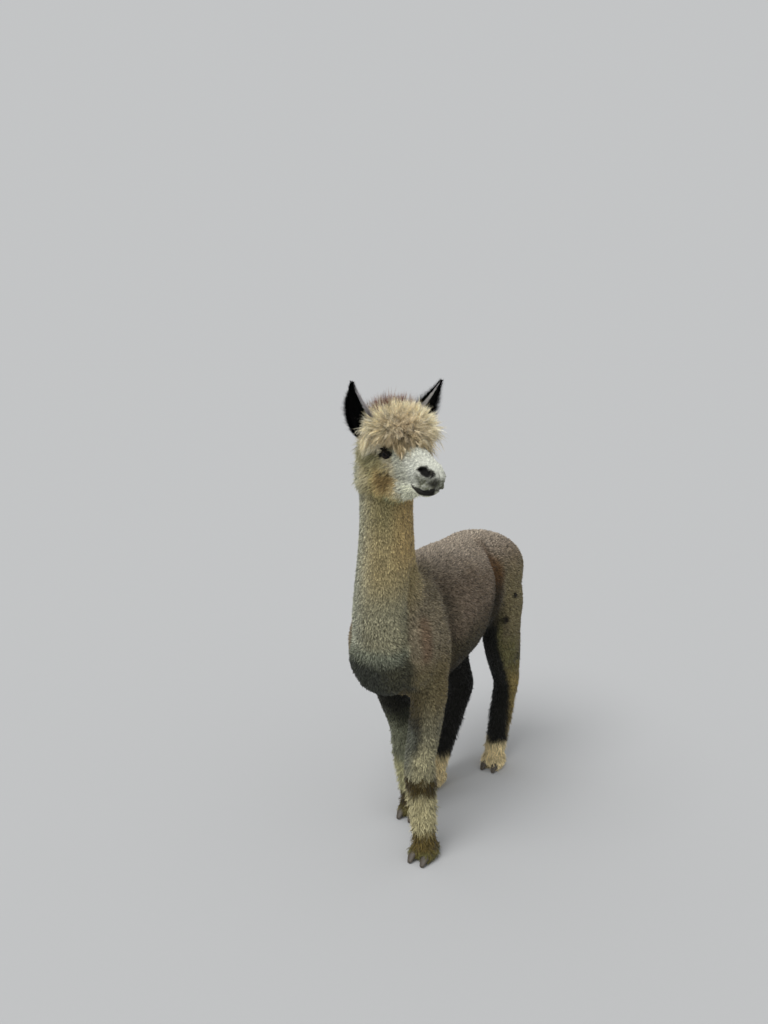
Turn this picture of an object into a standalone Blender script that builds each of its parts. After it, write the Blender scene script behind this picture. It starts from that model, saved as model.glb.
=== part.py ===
"""A life-size alpaca, shorn over neck and body, walking, with its head turned to its left.

The animal faces -Y, its left side is at +X and the floor is z = 0, in metres.
Tapered tubes for trunk, neck and legs are fused into one smooth body, which thin plates
part into the pieces that a person would name. The head, topknot, ears, eyes, tail and
toenails are shaped by themselves and seated in it.
"""

import math
import random

import bmesh
import bpy
import numpy as np
from mathutils import Matrix, Vector

# ---------------------------------------------------------------- driving sizes
GAP = 0.0004  # where a thin plate parts two pieces
SEAT_GAP = 0.0007  # round a piece that sits in another

BODY_VOXEL = 0.0065  # grain of the fused trunk, neck and legs
HEAD_VOXEL = 0.0030  # grain of the fused head
WOOL_VOXEL = 0.0045  # grain of the topknot
BODY_TRIANGLES = 2180
HEAD_TRIANGLES = 980
TOPKNOT_TRIANGLES = 500
TAIL_TRIANGLES = 160

HEAD_CENTRE = Vector((0.066, -0.4225, 1.256))  # midway between the eyes
HEAD_TURN = math.radians(65)  # from straight ahead towards the animal's left
HEAD_NOD = math.radians(8)  # nose below level

# name: y, top z, bottom z, half width, x of the middle, from the rump forwards
TRUNK = {
    "buttock": (0.440, 0.790, 0.650, 0.092, 0.0),
    "pin bones": (0.408, 0.842, 0.618, 0.128, 0.0),
    "croup": (0.356, 0.884, 0.600, 0.152, 0.0),
    "hips": (0.285, 0.908, 0.602, 0.160, 0.0),
    "loin": (0.195, 0.914, 0.588, 0.150, -0.002),
    "last rib": (0.080, 0.914, 0.538, 0.168, -0.004),
    "ribs": (-0.050, 0.910, 0.503, 0.168, -0.007),
    "girth": (-0.170, 0.898, 0.480, 0.156, -0.010),
    "shoulder": (-0.270, 0.864, 0.477, 0.148, -0.012),
    "breast": (-0.345, 0.800, 0.497, 0.138, -0.013),
    "point of breast": (-0.392, 0.740, 0.535, 0.116, -0.014),
}

# name: x, y, z, half width, half depth to the throat, half depth to the nape, from the poll down
NECK = {
    "poll": (0.004, -0.374, 1.262, 0.080, 0.078, 0.070),
    "nape": (0.000, -0.376, 1.200, 0.088, 0.087, 0.082),
    "upper neck": (-0.001, -0.378, 1.120, 0.080, 0.081, 0.082),
    "middle neck": (-0.002, -0.375, 1.020, 0.081, 0.086, 0.088),
    "lower neck": (-0.006, -0.368, 0.920, 0.089, 0.098, 0.102),
    "neck root": (-0.011, -0.345, 0.820, 0.106, 0.126, 0.140),
    "chest": (-0.013, -0.312, 0.720, 0.128, 0.150, 0.160),
    "breast bone": (-0.013, -0.285, 0.620, 0.134, 0.160, 0.150),
}

# name: z, half width, half depth forwards, half depth backwards, from the shoulder down
FORELEG = {
    "shoulder blade": (0.800, 0.040, 0.060, 0.075),
    "shoulder": (0.690, 0.058, 0.100, 0.095),
    "elbow": (0.560, 0.056, 0.078, 0.086),
    "forearm": (0.460, 0.057, 0.060, 0.066),
    "above the knee": (0.370, 0.054, 0.054, 0.055),
    "knee": (0.300, 0.055, 0.056, 0.053),
    "below the knee": (0.235, 0.053, 0.052, 0.054),
    "cannon": (0.160, 0.046, 0.046, 0.048),
    "fetlock": (0.085, 0.040, 0.040, 0.043),
    "pastern": (0.045, 0.037, 0.036, 0.038),
}
HINDLEG = {
    "haunch": (0.790, 0.055, 0.085, 0.095),
    "thigh": (0.680, 0.066, 0.125, 0.122),
    "stifle": (0.570, 0.064, 0.125, 0.104),
    "second thigh": (0.460, 0.062, 0.100, 0.076),
    "above the hock": (0.375, 0.056, 0.068, 0.060),
    "hock": (0.320, 0.053, 0.058, 0.057),
    "below the hock": (0.255, 0.049, 0.052, 0.052),
    "cannon": (0.165, 0.044, 0.045, 0.046),
    "fetlock": (0.085, 0.042, 0.042, 0.044),
    "pastern": (0.045, 0.038, 0.037, 0.039),
}
LEG_TOP, FETLOCK = 0.445, 0.078  # heights of the partings below the belly and above the foot
# Each leg's line as z: x, y, from its top to its foot.
LEG_LINES = {
    "fore_left": {0.80: (0.062, -0.170), 0.69: (0.088, -0.220), 0.54: (0.076, -0.240),
                  0.30: (0.068, -0.292), 0.045: (0.094, -0.305)},
    "fore_right": {0.80: (-0.086, -0.165), 0.69: (-0.112, -0.205), 0.54: (-0.126, -0.182),
                   0.30: (-0.083, -0.112), 0.045: (-0.046, -0.122)},
    "hind_left": {0.79: (0.066, 0.285), 0.68: (0.098, 0.298), 0.57: (0.102, 0.280),
                  0.32: (0.094, 0.358), 0.045: (0.073, 0.307)},
    "hind_right": {0.79: (-0.070, 0.270), 0.68: (-0.104, 0.265), 0.57: (-0.100, 0.215),
                   0.32: (-0.040, 0.245), 0.045: (-0.068, 0.085)},
}

# name: forwards, up, half width, half height up, half height down, in the head's own axes
SKULL = {
    "nape": (-0.100, -0.020, 0.068, 0.052, 0.068),
    "poll": (-0.065, -0.012, 0.084, 0.070, 0.090),
    "temple": (-0.025, -0.008, 0.073, 0.066, 0.088),
    "brow": (0.008, -0.008, 0.062, 0.058, 0.078),
    "cheek": (0.045, -0.010, 0.052, 0.054, 0.066),
    "bridge": (0.085, -0.014, 0.041, 0.050, 0.050),
    "nose": (0.120, -0.018, 0.036, 0.040, 0.040),
    "nostrils": (0.145, -0.024, 0.034, 0.032, 0.034),
    "upper lip": (0.160, -0.032, 0.028, 0.024, 0.024),
}
JAW = {
    "jaw angle": (-0.032, -0.080, 0.064, 0.045, 0.060),
    "jowl": (0.015, -0.078, 0.050, 0.040, 0.050),
    "jaw bar": (0.060, -0.072, 0.036, 0.030, 0.032),
    "chin groove": (0.100, -0.066, 0.029, 0.022, 0.022),
    "chin": (0.130, -0.064, 0.028, 0.018, 0.021),
    "lower lip": (0.148, -0.062, 0.022, 0.012, 0.014),
}
# The parting between the jaws as forwards, up: from the lips to the mouth's corner, then down.
MOUTH_LINE = ((0.220, -0.050), (0.150, -0.051), (0.118, -0.055), (0.085, -0.050), (0.060, -0.056),
              (0.020, -0.090), (0.004, -0.160))
MOUTH_GAP = 0.0008

# name: y, z, half width, half depth outwards, half depth inwards, from the root down
TAIL = {
    "tail head": (0.395, 0.812, 0.044, 0.036, 0.036),
    "upper tail": (0.452, 0.776, 0.046, 0.036, 0.034),
    "middle tail": (0.476, 0.700, 0.048, 0.036, 0.032),
    "tail tip": (0.474, 0.622, 0.034, 0.026, 0.024),
}

EYE_RADIUS = 0.0180
EYES = {"eye_left": (0.012, 0.0480, 0.006), "eye_right": (0.012, -0.0480, 0.006)}
EYE_SLIT = (0.0165, 0.0180, 0.0100)  # half length, reach outwards, half height between the lids

EAR_HALF_WIDTH = 0.040
EAR_CUP = 0.022  # depth of the hollow
EAR_WALL = 0.0045
# root, bend and tip of each ear, then the side its hollow faces, in the head's own axes
EARS = {
    "ear_left": ((-0.060, 0.054, 0.035), (-0.052, 0.100, 0.080), (-0.004, 0.122, 0.196),
                 (0.86, -0.50, 0.0)),
    "ear_right": ((-0.060, -0.054, 0.035), (-0.062, -0.103, 0.075), (-0.056, -0.130, 0.184),
                  (-0.34, 0.94, 0.0)),
}

TOPKNOT_CENTRE = (-0.015, -0.002, 0.062)  # in the head's own axes
TOPKNOT_RADII = (0.096, 0.101, 0.062)
LOCK_COUNT = 150
LOCK_LENGTH = (0.024, 0.038)
LOCK_RADIUS = 0.0105

TOE_APART = 0.021  # of each toe's middle from the foot's
NAIL_LENGTH = 0.026


# ---------------------------------------------------------------- scene and materials
def clear_scene():
    for item in list(bpy.data.objects):
        bpy.data.objects.remove(item)


def new_collection(name):
    made = bpy.data.collections.new(name)
    bpy.context.scene.collection.children.link(made)
    return made


def material(name, colour, roughness):
    made = bpy.data.materials.new(name)
    made.use_nodes = True
    shader = made.node_tree.nodes["Principled BSDF"]
    shader.inputs["Base Color"].default_value = (*colour, 1.0)
    shader.inputs["Roughness"].default_value = roughness
    made.diffuse_color = (*colour, 1.0)
    return made


def new_object(name, mesh, collection):
    made = bpy.data.objects.new(name, mesh)
    collection.objects.link(made)
    return made


def evaluated_mesh(item):
    """The object's mesh with its modifiers applied; the object itself is removed."""
    graph = bpy.context.evaluated_depsgraph_get()
    mesh = bpy.data.meshes.new_from_object(item.evaluated_get(graph))
    mesh.transform(item.matrix_world)
    bpy.data.objects.remove(item)
    return mesh


def mesh_of(bm):
    mesh = bpy.data.meshes.new("shape")
    bm.to_mesh(mesh)
    bm.free()
    return mesh


# ---------------------------------------------------------------- tubes and blobs
def smooth_rows(rows, steps):
    """Rows of numbers joined by a cubic Hermite curve through all of them, `steps` per span."""
    table = np.array(rows, float)
    slopes = np.gradient(table, axis=0)
    t = np.linspace(0, 1, steps, endpoint=False)[:, None]
    starts = 2 * t**3 - 3 * t**2 + 1
    leaves = t**3 - 2 * t**2 + t
    ends = 3 * t**2 - 2 * t**3
    arrives = t**3 - t**2
    spans = [
        starts * table[i] + leaves * slopes[i] + ends * table[i + 1] + arrives * slopes[i + 1]
        for i in range(len(table) - 1)
    ]
    return np.vstack([*spans, table[-1:]])


def domed(rows, travel, dome):
    """Rows of centre and half sizes with each end rounded off by `dome` shrinking rows."""
    bends = np.linspace(0, math.pi / 2, dome, endpoint=False)[1:]
    ends = []
    for row, along in ((rows[0], -travel[0]), (rows[-1], travel[-1])):
        depth = 0.6 * row[3:].mean()
        centres = row[:3] + np.outer(np.sin(bends) * depth, along)
        ends.append(np.hstack([centres, np.outer(np.cos(bends), row[3:])]))
    first, last = ends
    return (
        np.vstack([first[::-1], rows, last]),
        np.vstack([travel[:1]] * len(first) + [travel] + [travel[-1:]] * len(last)),
    )


def closed_tube(rings):
    """A closed bmesh through rings of points, an array of ring x point x 3."""
    bm = bmesh.new()
    loops = [[bm.verts.new(point) for point in ring] for ring in rings]
    count = len(loops[0])
    for low, high in zip(loops, loops[1:]):
        for i in range(count):
            j = (i + 1) % count
            bm.faces.new((low[i], low[j], high[j], high[i]))
    bm.faces.new(reversed(loops[0]))
    bm.faces.new(loops[-1])
    bmesh.ops.recalc_face_normals(bm, faces=bm.faces)
    return bm


def tube(rows, across, squareness=2.0, egg=0.0, ring=32, steps=5):
    """A tube through rows of x, y, z, half width, half fore, half aft.

    The half width lies along `across` and fore is travel x across. The section is a
    superellipse of power `squareness`; a positive egg makes it wider on its fore side.
    """
    rows = smooth_rows(rows, steps)
    travel = np.gradient(rows[:, :3], axis=0)
    travel /= np.linalg.norm(travel, axis=1)[:, None]
    rows, travel = domed(rows, travel, 5)
    side = np.array(across, float) - (travel @ np.array(across, float))[:, None] * travel
    side /= np.linalg.norm(side, axis=1)[:, None]
    fore = np.cross(travel, side)
    angles = np.linspace(0, 2 * math.pi, ring, endpoint=False)
    c, s = np.cos(angles), np.sin(angles)
    u = np.sign(c) * np.abs(c) ** (2 / squareness) * (1 + egg * s)
    v = np.sign(s) * np.abs(s) ** (2 / squareness)
    reach = np.where(v > 0, rows[:, 4:5], rows[:, 5:6]) * v
    return closed_tube(
        rows[:, None, :3]
        + side[:, None] * (rows[:, 3:4] * u)[..., None]
        + fore[:, None] * reach[..., None]
    )


def blob(centre, radii, turn=None, segments=24):
    """An ellipsoid of these radii, turned by a 3x3 matrix."""
    bm = bmesh.new()
    bmesh.ops.create_uvsphere(bm, u_segments=segments, v_segments=segments // 2, radius=1)
    place = Matrix.Translation(centre) @ (turn or Matrix.Identity(3)).to_4x4()
    bmesh.ops.transform(bm, matrix=place @ Matrix.Diagonal((*radii, 1)), verts=bm.verts)
    return bm


def cone(root, tip, thick, thin, sides=8):
    """A tapered round bar from root to tip."""
    bm = bmesh.new()
    along = tip - root
    bmesh.ops.create_cone(bm, cap_ends=True, segments=sides, radius1=thick, radius2=thin,
                          depth=along.length)
    turn = along.to_track_quat("Z", "Y").to_matrix().to_4x4()
    place = Matrix.Translation((root + tip) / 2) @ turn
    bmesh.ops.transform(bm, matrix=place, verts=bm.verts)
    return bm


def plate(corners, normal_thickness):
    """A closed box from a four-cornered sheet thickened evenly about its middle."""
    a, b, c, d = (Vector(corner) for corner in corners)
    push = (b - a).cross(d - a).normalized() * normal_thickness / 2
    return closed_tube([[p - push for p in (a, b, c, d)], [p + push for p in (a, b, c, d)]])


def fused(shapes, voxel, smoothing, triangles):
    """The shapes fused into one skin, smoothed where they meet, and brought to a triangle count."""
    whole = bmesh.new()
    for shape in shapes:
        mesh = mesh_of(shape)
        whole.from_mesh(mesh)
        bpy.data.meshes.remove(mesh)
    rough = new_object("rough", mesh_of(whole), bpy.context.scene.collection)
    remesh = rough.modifiers.new("fuse", "REMESH")
    remesh.mode = "VOXEL"
    remesh.voxel_size = voxel
    smooth = rough.modifiers.new("soften", "SMOOTH")
    smooth.factor = 0.5
    smooth.iterations = smoothing
    mesh = evaluated_mesh(rough)
    fine = new_object("fine", mesh, bpy.context.scene.collection)
    decimate = fine.modifiers.new("facets", "DECIMATE")
    decimate.ratio = triangles / (2 * len(mesh.polygons))
    decimate.use_collapse_triangulate = True
    return evaluated_mesh(fine)


# ---------------------------------------------------------------- cutting and seating
def boolean(mesh, cutter_mesh, operation="DIFFERENCE"):
    item = new_object("cut", mesh, bpy.context.scene.collection)
    cutter = new_object("cutter", cutter_mesh, bpy.context.scene.collection)
    cut = item.modifiers.new("cut", "BOOLEAN")
    cut.operation = operation
    cut.solver = "EXACT"
    cut.object = cutter
    made = evaluated_mesh(item)
    bpy.data.objects.remove(cutter)
    return made


def inflated(mesh, by=SEAT_GAP):
    """A copy of the mesh pushed outwards along its normals."""
    bm = bmesh.new()
    bm.from_mesh(mesh)
    bm.normal_update()
    for vert in bm.verts:
        vert.co += vert.normal * by * vert.calc_shell_factor()
    return mesh_of(bm)


def bodies(mesh):
    """The mesh's separate bodies, each a bmesh, with the largest first."""
    bm = bmesh.new()
    bm.from_mesh(mesh)
    bm.verts.ensure_lookup_table()
    seen, groups = set(), []
    for start in bm.verts:
        if start in seen:
            continue
        group, stack = {start}, [start]
        while stack:
            for edge in stack.pop().link_edges:
                for vert in edge.verts:
                    if vert not in group:
                        group.add(vert)
                        stack.append(vert)
        seen |= group
        groups.append({vert.index for vert in group})
    found = []
    for group in groups:
        body = bm.copy()
        body.verts.ensure_lookup_table()
        others = [vert for vert in body.verts if vert.index not in group]
        bmesh.ops.delete(body, geom=others, context="VERTS")
        found.append(body)
    bm.free()
    return sorted(found, key=lambda body: -body.calc_volume())


def largest(mesh):
    return mesh_of(bodies(mesh)[0])


def seated(mesh, *moulds):
    """The mesh with room cut for each mould and the gap round it, keeping its largest body.

    The mould's own shape is cut too, in case a fold of it pokes through its inflated copy.
    """
    for mould in moulds:
        mesh = boolean(mesh, inflated(mould))
        mesh = boolean(mesh, mould.copy())
    return largest(mesh)


# ---------------------------------------------------------------- the head's own axes
def head_matrix():
    """Columns are the head's forward, left and up directions; the origin is between the eyes."""
    level = Vector((math.sin(HEAD_TURN), -math.cos(HEAD_TURN), 0))
    left = Vector((math.cos(HEAD_TURN), math.sin(HEAD_TURN), 0))
    forward = level * math.cos(HEAD_NOD) - Vector((0, 0, 1)) * math.sin(HEAD_NOD)
    turn = Matrix((forward, left, forward.cross(left))).transposed()
    return Matrix.Translation(HEAD_CENTRE) @ turn.to_4x4()


HEAD = head_matrix()
HEAD_LEFT = HEAD.to_3x3().col[1]


def head_point(forward, left, up):
    return HEAD @ Vector((forward, left, up))


def head_rows(table):
    return [(*head_point(f, 0, u), w, above, below) for f, u, w, above, below in table.values()]


# ---------------------------------------------------------------- body shapes
def trunk_shape():
    rows = []
    for y, top, bottom, half_width, x in TRUNK.values():
        middle = bottom + 0.52 * (top - bottom)
        rows.append((x, y, middle, half_width, top - middle, middle - bottom))
    return tube(rows, (1, 0, 0), squareness=2.15, egg=0.02, ring=40)


def leg_shape(leg):
    table = FORELEG if leg.startswith("fore") else HINDLEG
    return tube([(*leg_point(leg, z), z, *sizes) for z, *sizes in table.values()], (1, 0, 0), ring=24)


def foot_of(leg):
    return LEG_LINES[leg][0.045]


def toe_middles(leg):
    x, y = foot_of(leg)
    return {"inner": (x - math.copysign(TOE_APART, x), y), "outer": (x + math.copysign(TOE_APART, x), y)}


def toe_shapes(leg):
    """Two toes side by side, each a low capsule that the floor cuts flat."""
    shapes = []
    for x, y in toe_middles(leg).values():
        rows = [
            (x, y + 0.030, 0.024, 0.019, 0.024, 0.030),
            (x, y - 0.004, 0.026, 0.022, 0.026, 0.032),
            (x, y - 0.036, 0.020, 0.018, 0.019, 0.026),
        ]
        shapes.append(tube(rows, (1, 0, 0), ring=16, steps=3))
    return shapes


def nail_shape(x, y):
    """A toenail: a blunt wedge that lies along the top of the toe's end and reaches past it."""
    front = y - 0.050
    rings = []
    for t in np.linspace(0, 1, 5):
        half_width = 0.0125 * (1 - 0.55 * t**2)
        top = 0.032 - 0.024 * t**1.3
        bottom = 0.014 - 0.0115 * t
        angles = np.linspace(0, 2 * math.pi, 8, endpoint=False)
        middle, half = (top + bottom) / 2, (top - bottom) / 2
        depth = front + 0.014 - NAIL_LENGTH * t
        rings.append([(x + half_width * math.cos(a), depth, middle + half * math.sin(a)) for a in angles])
    return mesh_of(closed_tube(rings))


def tail_mesh():
    rows = [(0, y, z, w, outward, inward) for y, z, w, outward, inward in TAIL.values()]
    return fused([tube(rows, (1, 0, 0), ring=20)], 0.005, 4, TAIL_TRIANGLES)


def body_mesh():
    neck = tube(list(NECK.values()), (1, 0, 0), squareness=2.1)
    shapes = [trunk_shape(), neck]
    for leg in LEG_LINES:
        shapes += [leg_shape(leg), *toe_shapes(leg)]
    whole = fused(shapes, BODY_VOXEL, 26, BODY_TRIANGLES)
    ground = plate([(-1, -1, -0.25), (1, -1, -0.25), (1, 1, -0.25), (-1, 1, -0.25)], 0.5)
    return boolean(whole, mesh_of(ground))


# ---------------------------------------------------------------- head shapes
def head_mesh():
    shapes = [
        tube(head_rows(SKULL), HEAD_LEFT, squareness=2.15, egg=0.04),
        tube(head_rows(JAW), HEAD_LEFT, squareness=2.2),
    ]
    turn = HEAD.to_3x3()
    for side in (-1, 1):
        shapes += [
            blob(head_point(0.004, side * 0.044, 0.010), (0.032, 0.021, 0.024), turn),
            blob(head_point(-0.030, side * 0.040, -0.070), (0.052, 0.028, 0.058), turn),
            blob(head_point(0.140, side * 0.021, -0.020), (0.026, 0.017, 0.020), turn),
            blob(head_point(0.146, side * 0.015, -0.046), (0.024, 0.018, 0.016), turn),
        ]
    return fused(shapes, HEAD_VOXEL, 5, HEAD_TRIANGLES)


def ear_mesh(name):
    """A spear-shaped ear, hollow on one side: crescent rings along a bent path."""
    root, bend, tip, opening = (Vector(place) for place in EARS[name])
    rings = []
    for t in np.linspace(0, 1, 9):
        centre = root * (1 - t) ** 2 + bend * 2 * t * (1 - t) + tip * t**2
        along = ((bend - root) * (1 - t) + (tip - bend) * t).normalized()
        across = along.cross(opening).normalized()
        front = across.cross(along)
        wide = EAR_HALF_WIDTH * (0.70 + 1.15 * t - 1.85 * t**2) + 0.0030
        deep = EAR_CUP * (1 - 0.6 * t) * wide / EAR_HALF_WIDTH
        wall = EAR_WALL * (1 - 0.4 * t) * min(1, wide / 0.010)
        arc = np.linspace(-1, 1, 7)
        outer = [centre + across * wide * a - front * deep * (1 - a * a) for a in arc]
        inner = [
            centre + across * wide * 0.86 * a + front * (wall - deep * (1 - a * a) + deep * 0.1)
            for a in arc[::-1]
        ]
        rings.append([HEAD @ point for point in outer + inner])
    return mesh_of(closed_tube(rings))


def topknot_mesh():
    """A domed mop of wool over the skull, with locks that point outwards and hang at the edge."""
    shuffle = random.Random(7)
    centre = Vector(TOPKNOT_CENTRE)
    shapes = [blob(head_point(*centre), TOPKNOT_RADII, HEAD.to_3x3(), 32)]
    for i in range(LOCK_COUNT):
        up = 1 - 1.45 * (i + 0.5) / LOCK_COUNT
        turn = i * math.pi * (3 - math.sqrt(5)) + shuffle.uniform(-0.2, 0.2)
        level = math.sqrt(1 - up * up)
        out = Vector((level * math.cos(turn), level * math.sin(turn), up))
        start = centre + Vector(out[k] * TOPKNOT_RADII[k] * 0.86 for k in range(3))
        droop = Vector((0.12, 0.0, -0.55 * (1 - up)))
        brow = max(0.0, math.cos(turn)) * max(0.0, 0.6 - abs(up))
        end = start + (out + droop).normalized() * shuffle.uniform(*LOCK_LENGTH) * (1 + brow)
        shapes.append(cone(HEAD @ start, HEAD @ end, LOCK_RADIUS, LOCK_RADIUS * 0.35))
    return fused(shapes, WOOL_VOXEL, 4, TOPKNOT_TRIANGLES)


def mouth_sheet():
    """The thin folded sheet between the jaws."""
    line = np.array(MOUTH_LINE)
    along = np.gradient(line, axis=0)
    along /= np.linalg.norm(along, axis=1)[:, None]
    off = np.stack([-along[:, 1], along[:, 0]], 1) * MOUTH_GAP / 2
    outline = np.vstack([line + off, (line - off)[::-1]])
    return mesh_of(closed_tube([[head_point(f, side, u) for f, u in outline] for side in (-0.12, 0.12)]))


def eye_opening(name):
    """The almond-shaped gap between the lids, in front of the eyeball."""
    forward, left, up = EYES[name]
    side = math.copysign(1, left)
    turn = HEAD.to_3x3() @ Matrix.Rotation(side * math.radians(-14), 3, "Z")
    centre = head_point(forward + 0.003, left + side * 0.012, up)
    return mesh_of(blob(centre, EYE_SLIT, turn, 16))


# ---------------------------------------------------------------- parting the body
def level_plate(x, y, z):
    """A level plate just wide enough for one leg, so that it spares the leg beside it."""
    corners = [(x - 0.070, y - 0.125, z), (x + 0.070, y - 0.125, z),
               (x + 0.070, y + 0.125, z), (x - 0.070, y + 0.125, z)]
    return plate(corners, GAP)


def leg_point(leg, z):
    line = LEG_LINES[leg]
    levels = sorted(line)
    return tuple(np.interp(z, levels, [line[level][axis] for level in levels]) for axis in (0, 1))


def parted_body(whole):
    """The body cut by thin plates at the neck's root and across each leg, as name: mesh."""
    plates = bmesh.new()
    sheets = [plate([(-0.25, -0.56, 0.735), (0.25, -0.56, 0.735), (0.25, -0.15, 0.955),
                     (-0.25, -0.15, 0.955)], GAP)]
    middles = {"trunk": Vector((0, 0.05, 0.70)), "neck": Vector((0, -0.37, 1.05))}
    for leg in LEG_LINES:
        limb = leg.replace("fore", "foreleg").replace("hind", "hindleg")
        knee = 0.285 if leg.startswith("fore") else 0.305
        for level in (LEG_TOP, knee, FETLOCK):
            sheets.append(level_plate(*leg_point(leg, level), level))
        for piece, level in (("upper", 0.38), ("lower", 0.18), ("foot", 0.035)):
            middles[f"{limb}_{piece}"] = Vector((*leg_point(leg, level), level))
    for sheet in sheets:
        mesh = mesh_of(sheet)
        plates.from_mesh(mesh)
        bpy.data.meshes.remove(mesh)
    found = {}
    for body in bodies(boolean(whole, mesh_of(plates)))[: len(middles)]:
        middle = sum((vert.co for vert in body.verts), Vector()) / len(body.verts)
        name = min(middles, key=lambda key: (middles[key] - middle).length)
        found[name] = mesh_of(body)
    return found


# ---------------------------------------------------------------- putting it together
def centre_on_floor(meshes):
    """Moves every mesh alike, so that the origin is under the middle of the bounding box."""
    points = np.array([vert.co for mesh in meshes for vert in mesh.vertices])
    middle = (points.min(axis=0) + points.max(axis=0)) / 2
    for mesh in meshes:
        mesh.transform(Matrix.Translation((-middle[0], -middle[1], 0)))


def main():
    clear_scene()
    parts = new_collection("Alpaca")
    wool = material("cream wool", (0.44, 0.37, 0.23), 0.95)
    fawn = material("fawn fleece", (0.20, 0.16, 0.085), 0.95)
    grey = material("grey-brown fleece", (0.13, 0.095, 0.065), 0.95)
    pale = material("white face", (0.55, 0.54, 0.46), 0.90)
    dark = material("black leg", (0.012, 0.012, 0.010), 0.90)
    horn = material("horn", (0.05, 0.04, 0.03), 0.45)
    glass = material("eye", (0.008, 0.006, 0.004), 0.08)

    ears = {name: ear_mesh(name) for name in EARS}
    eyes = {name: mesh_of(blob(head_point(*place), (EYE_RADIUS,) * 3, HEAD.to_3x3(), 12))
            for name, place in EYES.items()}
    tail = tail_mesh()
    whole_head = head_mesh()
    pieces = parted_body(body_mesh())
    topknot = seated(topknot_mesh(), whole_head, pieces["neck"], *ears.values())
    pieces["neck"] = seated(pieces["neck"], whole_head, *ears.values())
    pieces["trunk"] = seated(pieces["trunk"], tail)

    head = seated(whole_head, *ears.values(), *eyes.values())
    for name in EYES:
        head = boolean(head, eye_opening(name))
    jaws = bodies(boolean(head, mouth_sheet()))[:2]
    pieces["head"], pieces["lower_jaw"] = (mesh_of(jaw) for jaw in jaws)

    for leg in LEG_LINES:
        limb = leg.replace("fore", "foreleg").replace("hind", "hindleg")
        nails = {f"{limb}_nail_{toe}": nail_shape(x, y) for toe, (x, y) in toe_middles(leg).items()}
        pieces[f"{limb}_foot"] = seated(pieces[f"{limb}_foot"], *nails.values())
        pieces.update(nails)

    pieces.update(ears, topknot=topknot, tail=tail, **eyes)
    centre_on_floor(pieces.values())
    for name, mesh in pieces.items():
        mesh.materials.clear()
        slot = grey
        if name in ("head", "lower_jaw"):
            slot = pale
        elif name == "topknot" or name.endswith("foot"):
            slot = wool
        elif name == "neck":
            slot = fawn
        elif name.startswith("ear") or name.startswith("hindleg"):
            slot = dark
        if "nail" in name:
            slot = horn
        elif name.startswith("eye"):
            slot = glass
        mesh.materials.append(slot)
        mesh.shade_smooth()
        new_object(name, mesh, parts)


if __name__ == "__main__":
    main()
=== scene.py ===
"""The looks of a life-size alpaca, shorn over neck and body, with a mop of wool on its head.

The animal faces -Y, its left side is at +X and the floor is z = 0, in metres. One skin lies
inside the solids by the depth of the coat, and the coat is solid tufts that grow from it.
"""

import bpy
import numpy as np
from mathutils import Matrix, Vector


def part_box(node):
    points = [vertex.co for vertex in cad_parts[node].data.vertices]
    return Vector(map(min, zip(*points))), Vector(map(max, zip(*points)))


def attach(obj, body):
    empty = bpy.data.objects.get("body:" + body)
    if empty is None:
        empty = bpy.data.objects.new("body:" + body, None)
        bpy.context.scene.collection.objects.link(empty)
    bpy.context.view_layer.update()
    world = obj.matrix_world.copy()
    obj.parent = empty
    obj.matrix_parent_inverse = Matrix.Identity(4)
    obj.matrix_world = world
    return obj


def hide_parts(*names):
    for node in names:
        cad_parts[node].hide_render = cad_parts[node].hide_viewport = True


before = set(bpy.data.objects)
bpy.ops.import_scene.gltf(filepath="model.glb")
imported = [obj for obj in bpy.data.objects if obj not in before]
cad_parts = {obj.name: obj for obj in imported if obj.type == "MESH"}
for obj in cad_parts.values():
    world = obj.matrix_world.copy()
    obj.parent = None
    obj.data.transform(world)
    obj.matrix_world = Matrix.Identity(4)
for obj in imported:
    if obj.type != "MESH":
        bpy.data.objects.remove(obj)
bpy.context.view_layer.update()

# ================================================================ trunk, neck and legs of the skin
# The body under the fleece: tapered tubes for the trunk, the neck and each leg, fused and
# smoothed into one surface as muscle and hide would be. Sizes are those of the solids, to the
# coat's tips; the coat's depth is taken off afterwards.

# name: y, top z, bottom z, half width, x of the middle, from the rump forwards
TRUNK = {
    "buttock": (0.440, 0.790, 0.650, 0.092, 0.0),
    "pin bones": (0.408, 0.842, 0.618, 0.128, 0.0),
    "croup": (0.356, 0.884, 0.600, 0.152, 0.0),
    "hips": (0.285, 0.908, 0.602, 0.160, 0.0),
    "loin": (0.195, 0.914, 0.588, 0.150, -0.002),
    "last rib": (0.080, 0.914, 0.538, 0.168, -0.004),
    "ribs": (-0.050, 0.910, 0.503, 0.168, -0.007),
    "girth": (-0.170, 0.898, 0.480, 0.156, -0.010),
    "shoulder": (-0.270, 0.864, 0.477, 0.148, -0.012),
    "breast": (-0.345, 0.800, 0.497, 0.138, -0.013),
    "point of breast": (-0.392, 0.740, 0.535, 0.116, -0.014),
}
# name: x, y, z, half width, half depth to the throat, half depth to the nape, from the poll down
NECK = {
    "poll": (0.004, -0.374, 1.262, 0.080, 0.078, 0.070),
    "nape": (0.000, -0.376, 1.200, 0.088, 0.087, 0.082),
    "upper neck": (-0.001, -0.378, 1.120, 0.080, 0.081, 0.082),
    "middle neck": (-0.002, -0.375, 1.020, 0.081, 0.086, 0.088),
    "lower neck": (-0.006, -0.368, 0.920, 0.089, 0.098, 0.102),
    "neck root": (-0.011, -0.345, 0.820, 0.106, 0.126, 0.140),
    "chest": (-0.013, -0.312, 0.720, 0.128, 0.150, 0.160),
    "breast bone": (-0.013, -0.285, 0.620, 0.134, 0.160, 0.150),
}
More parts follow.
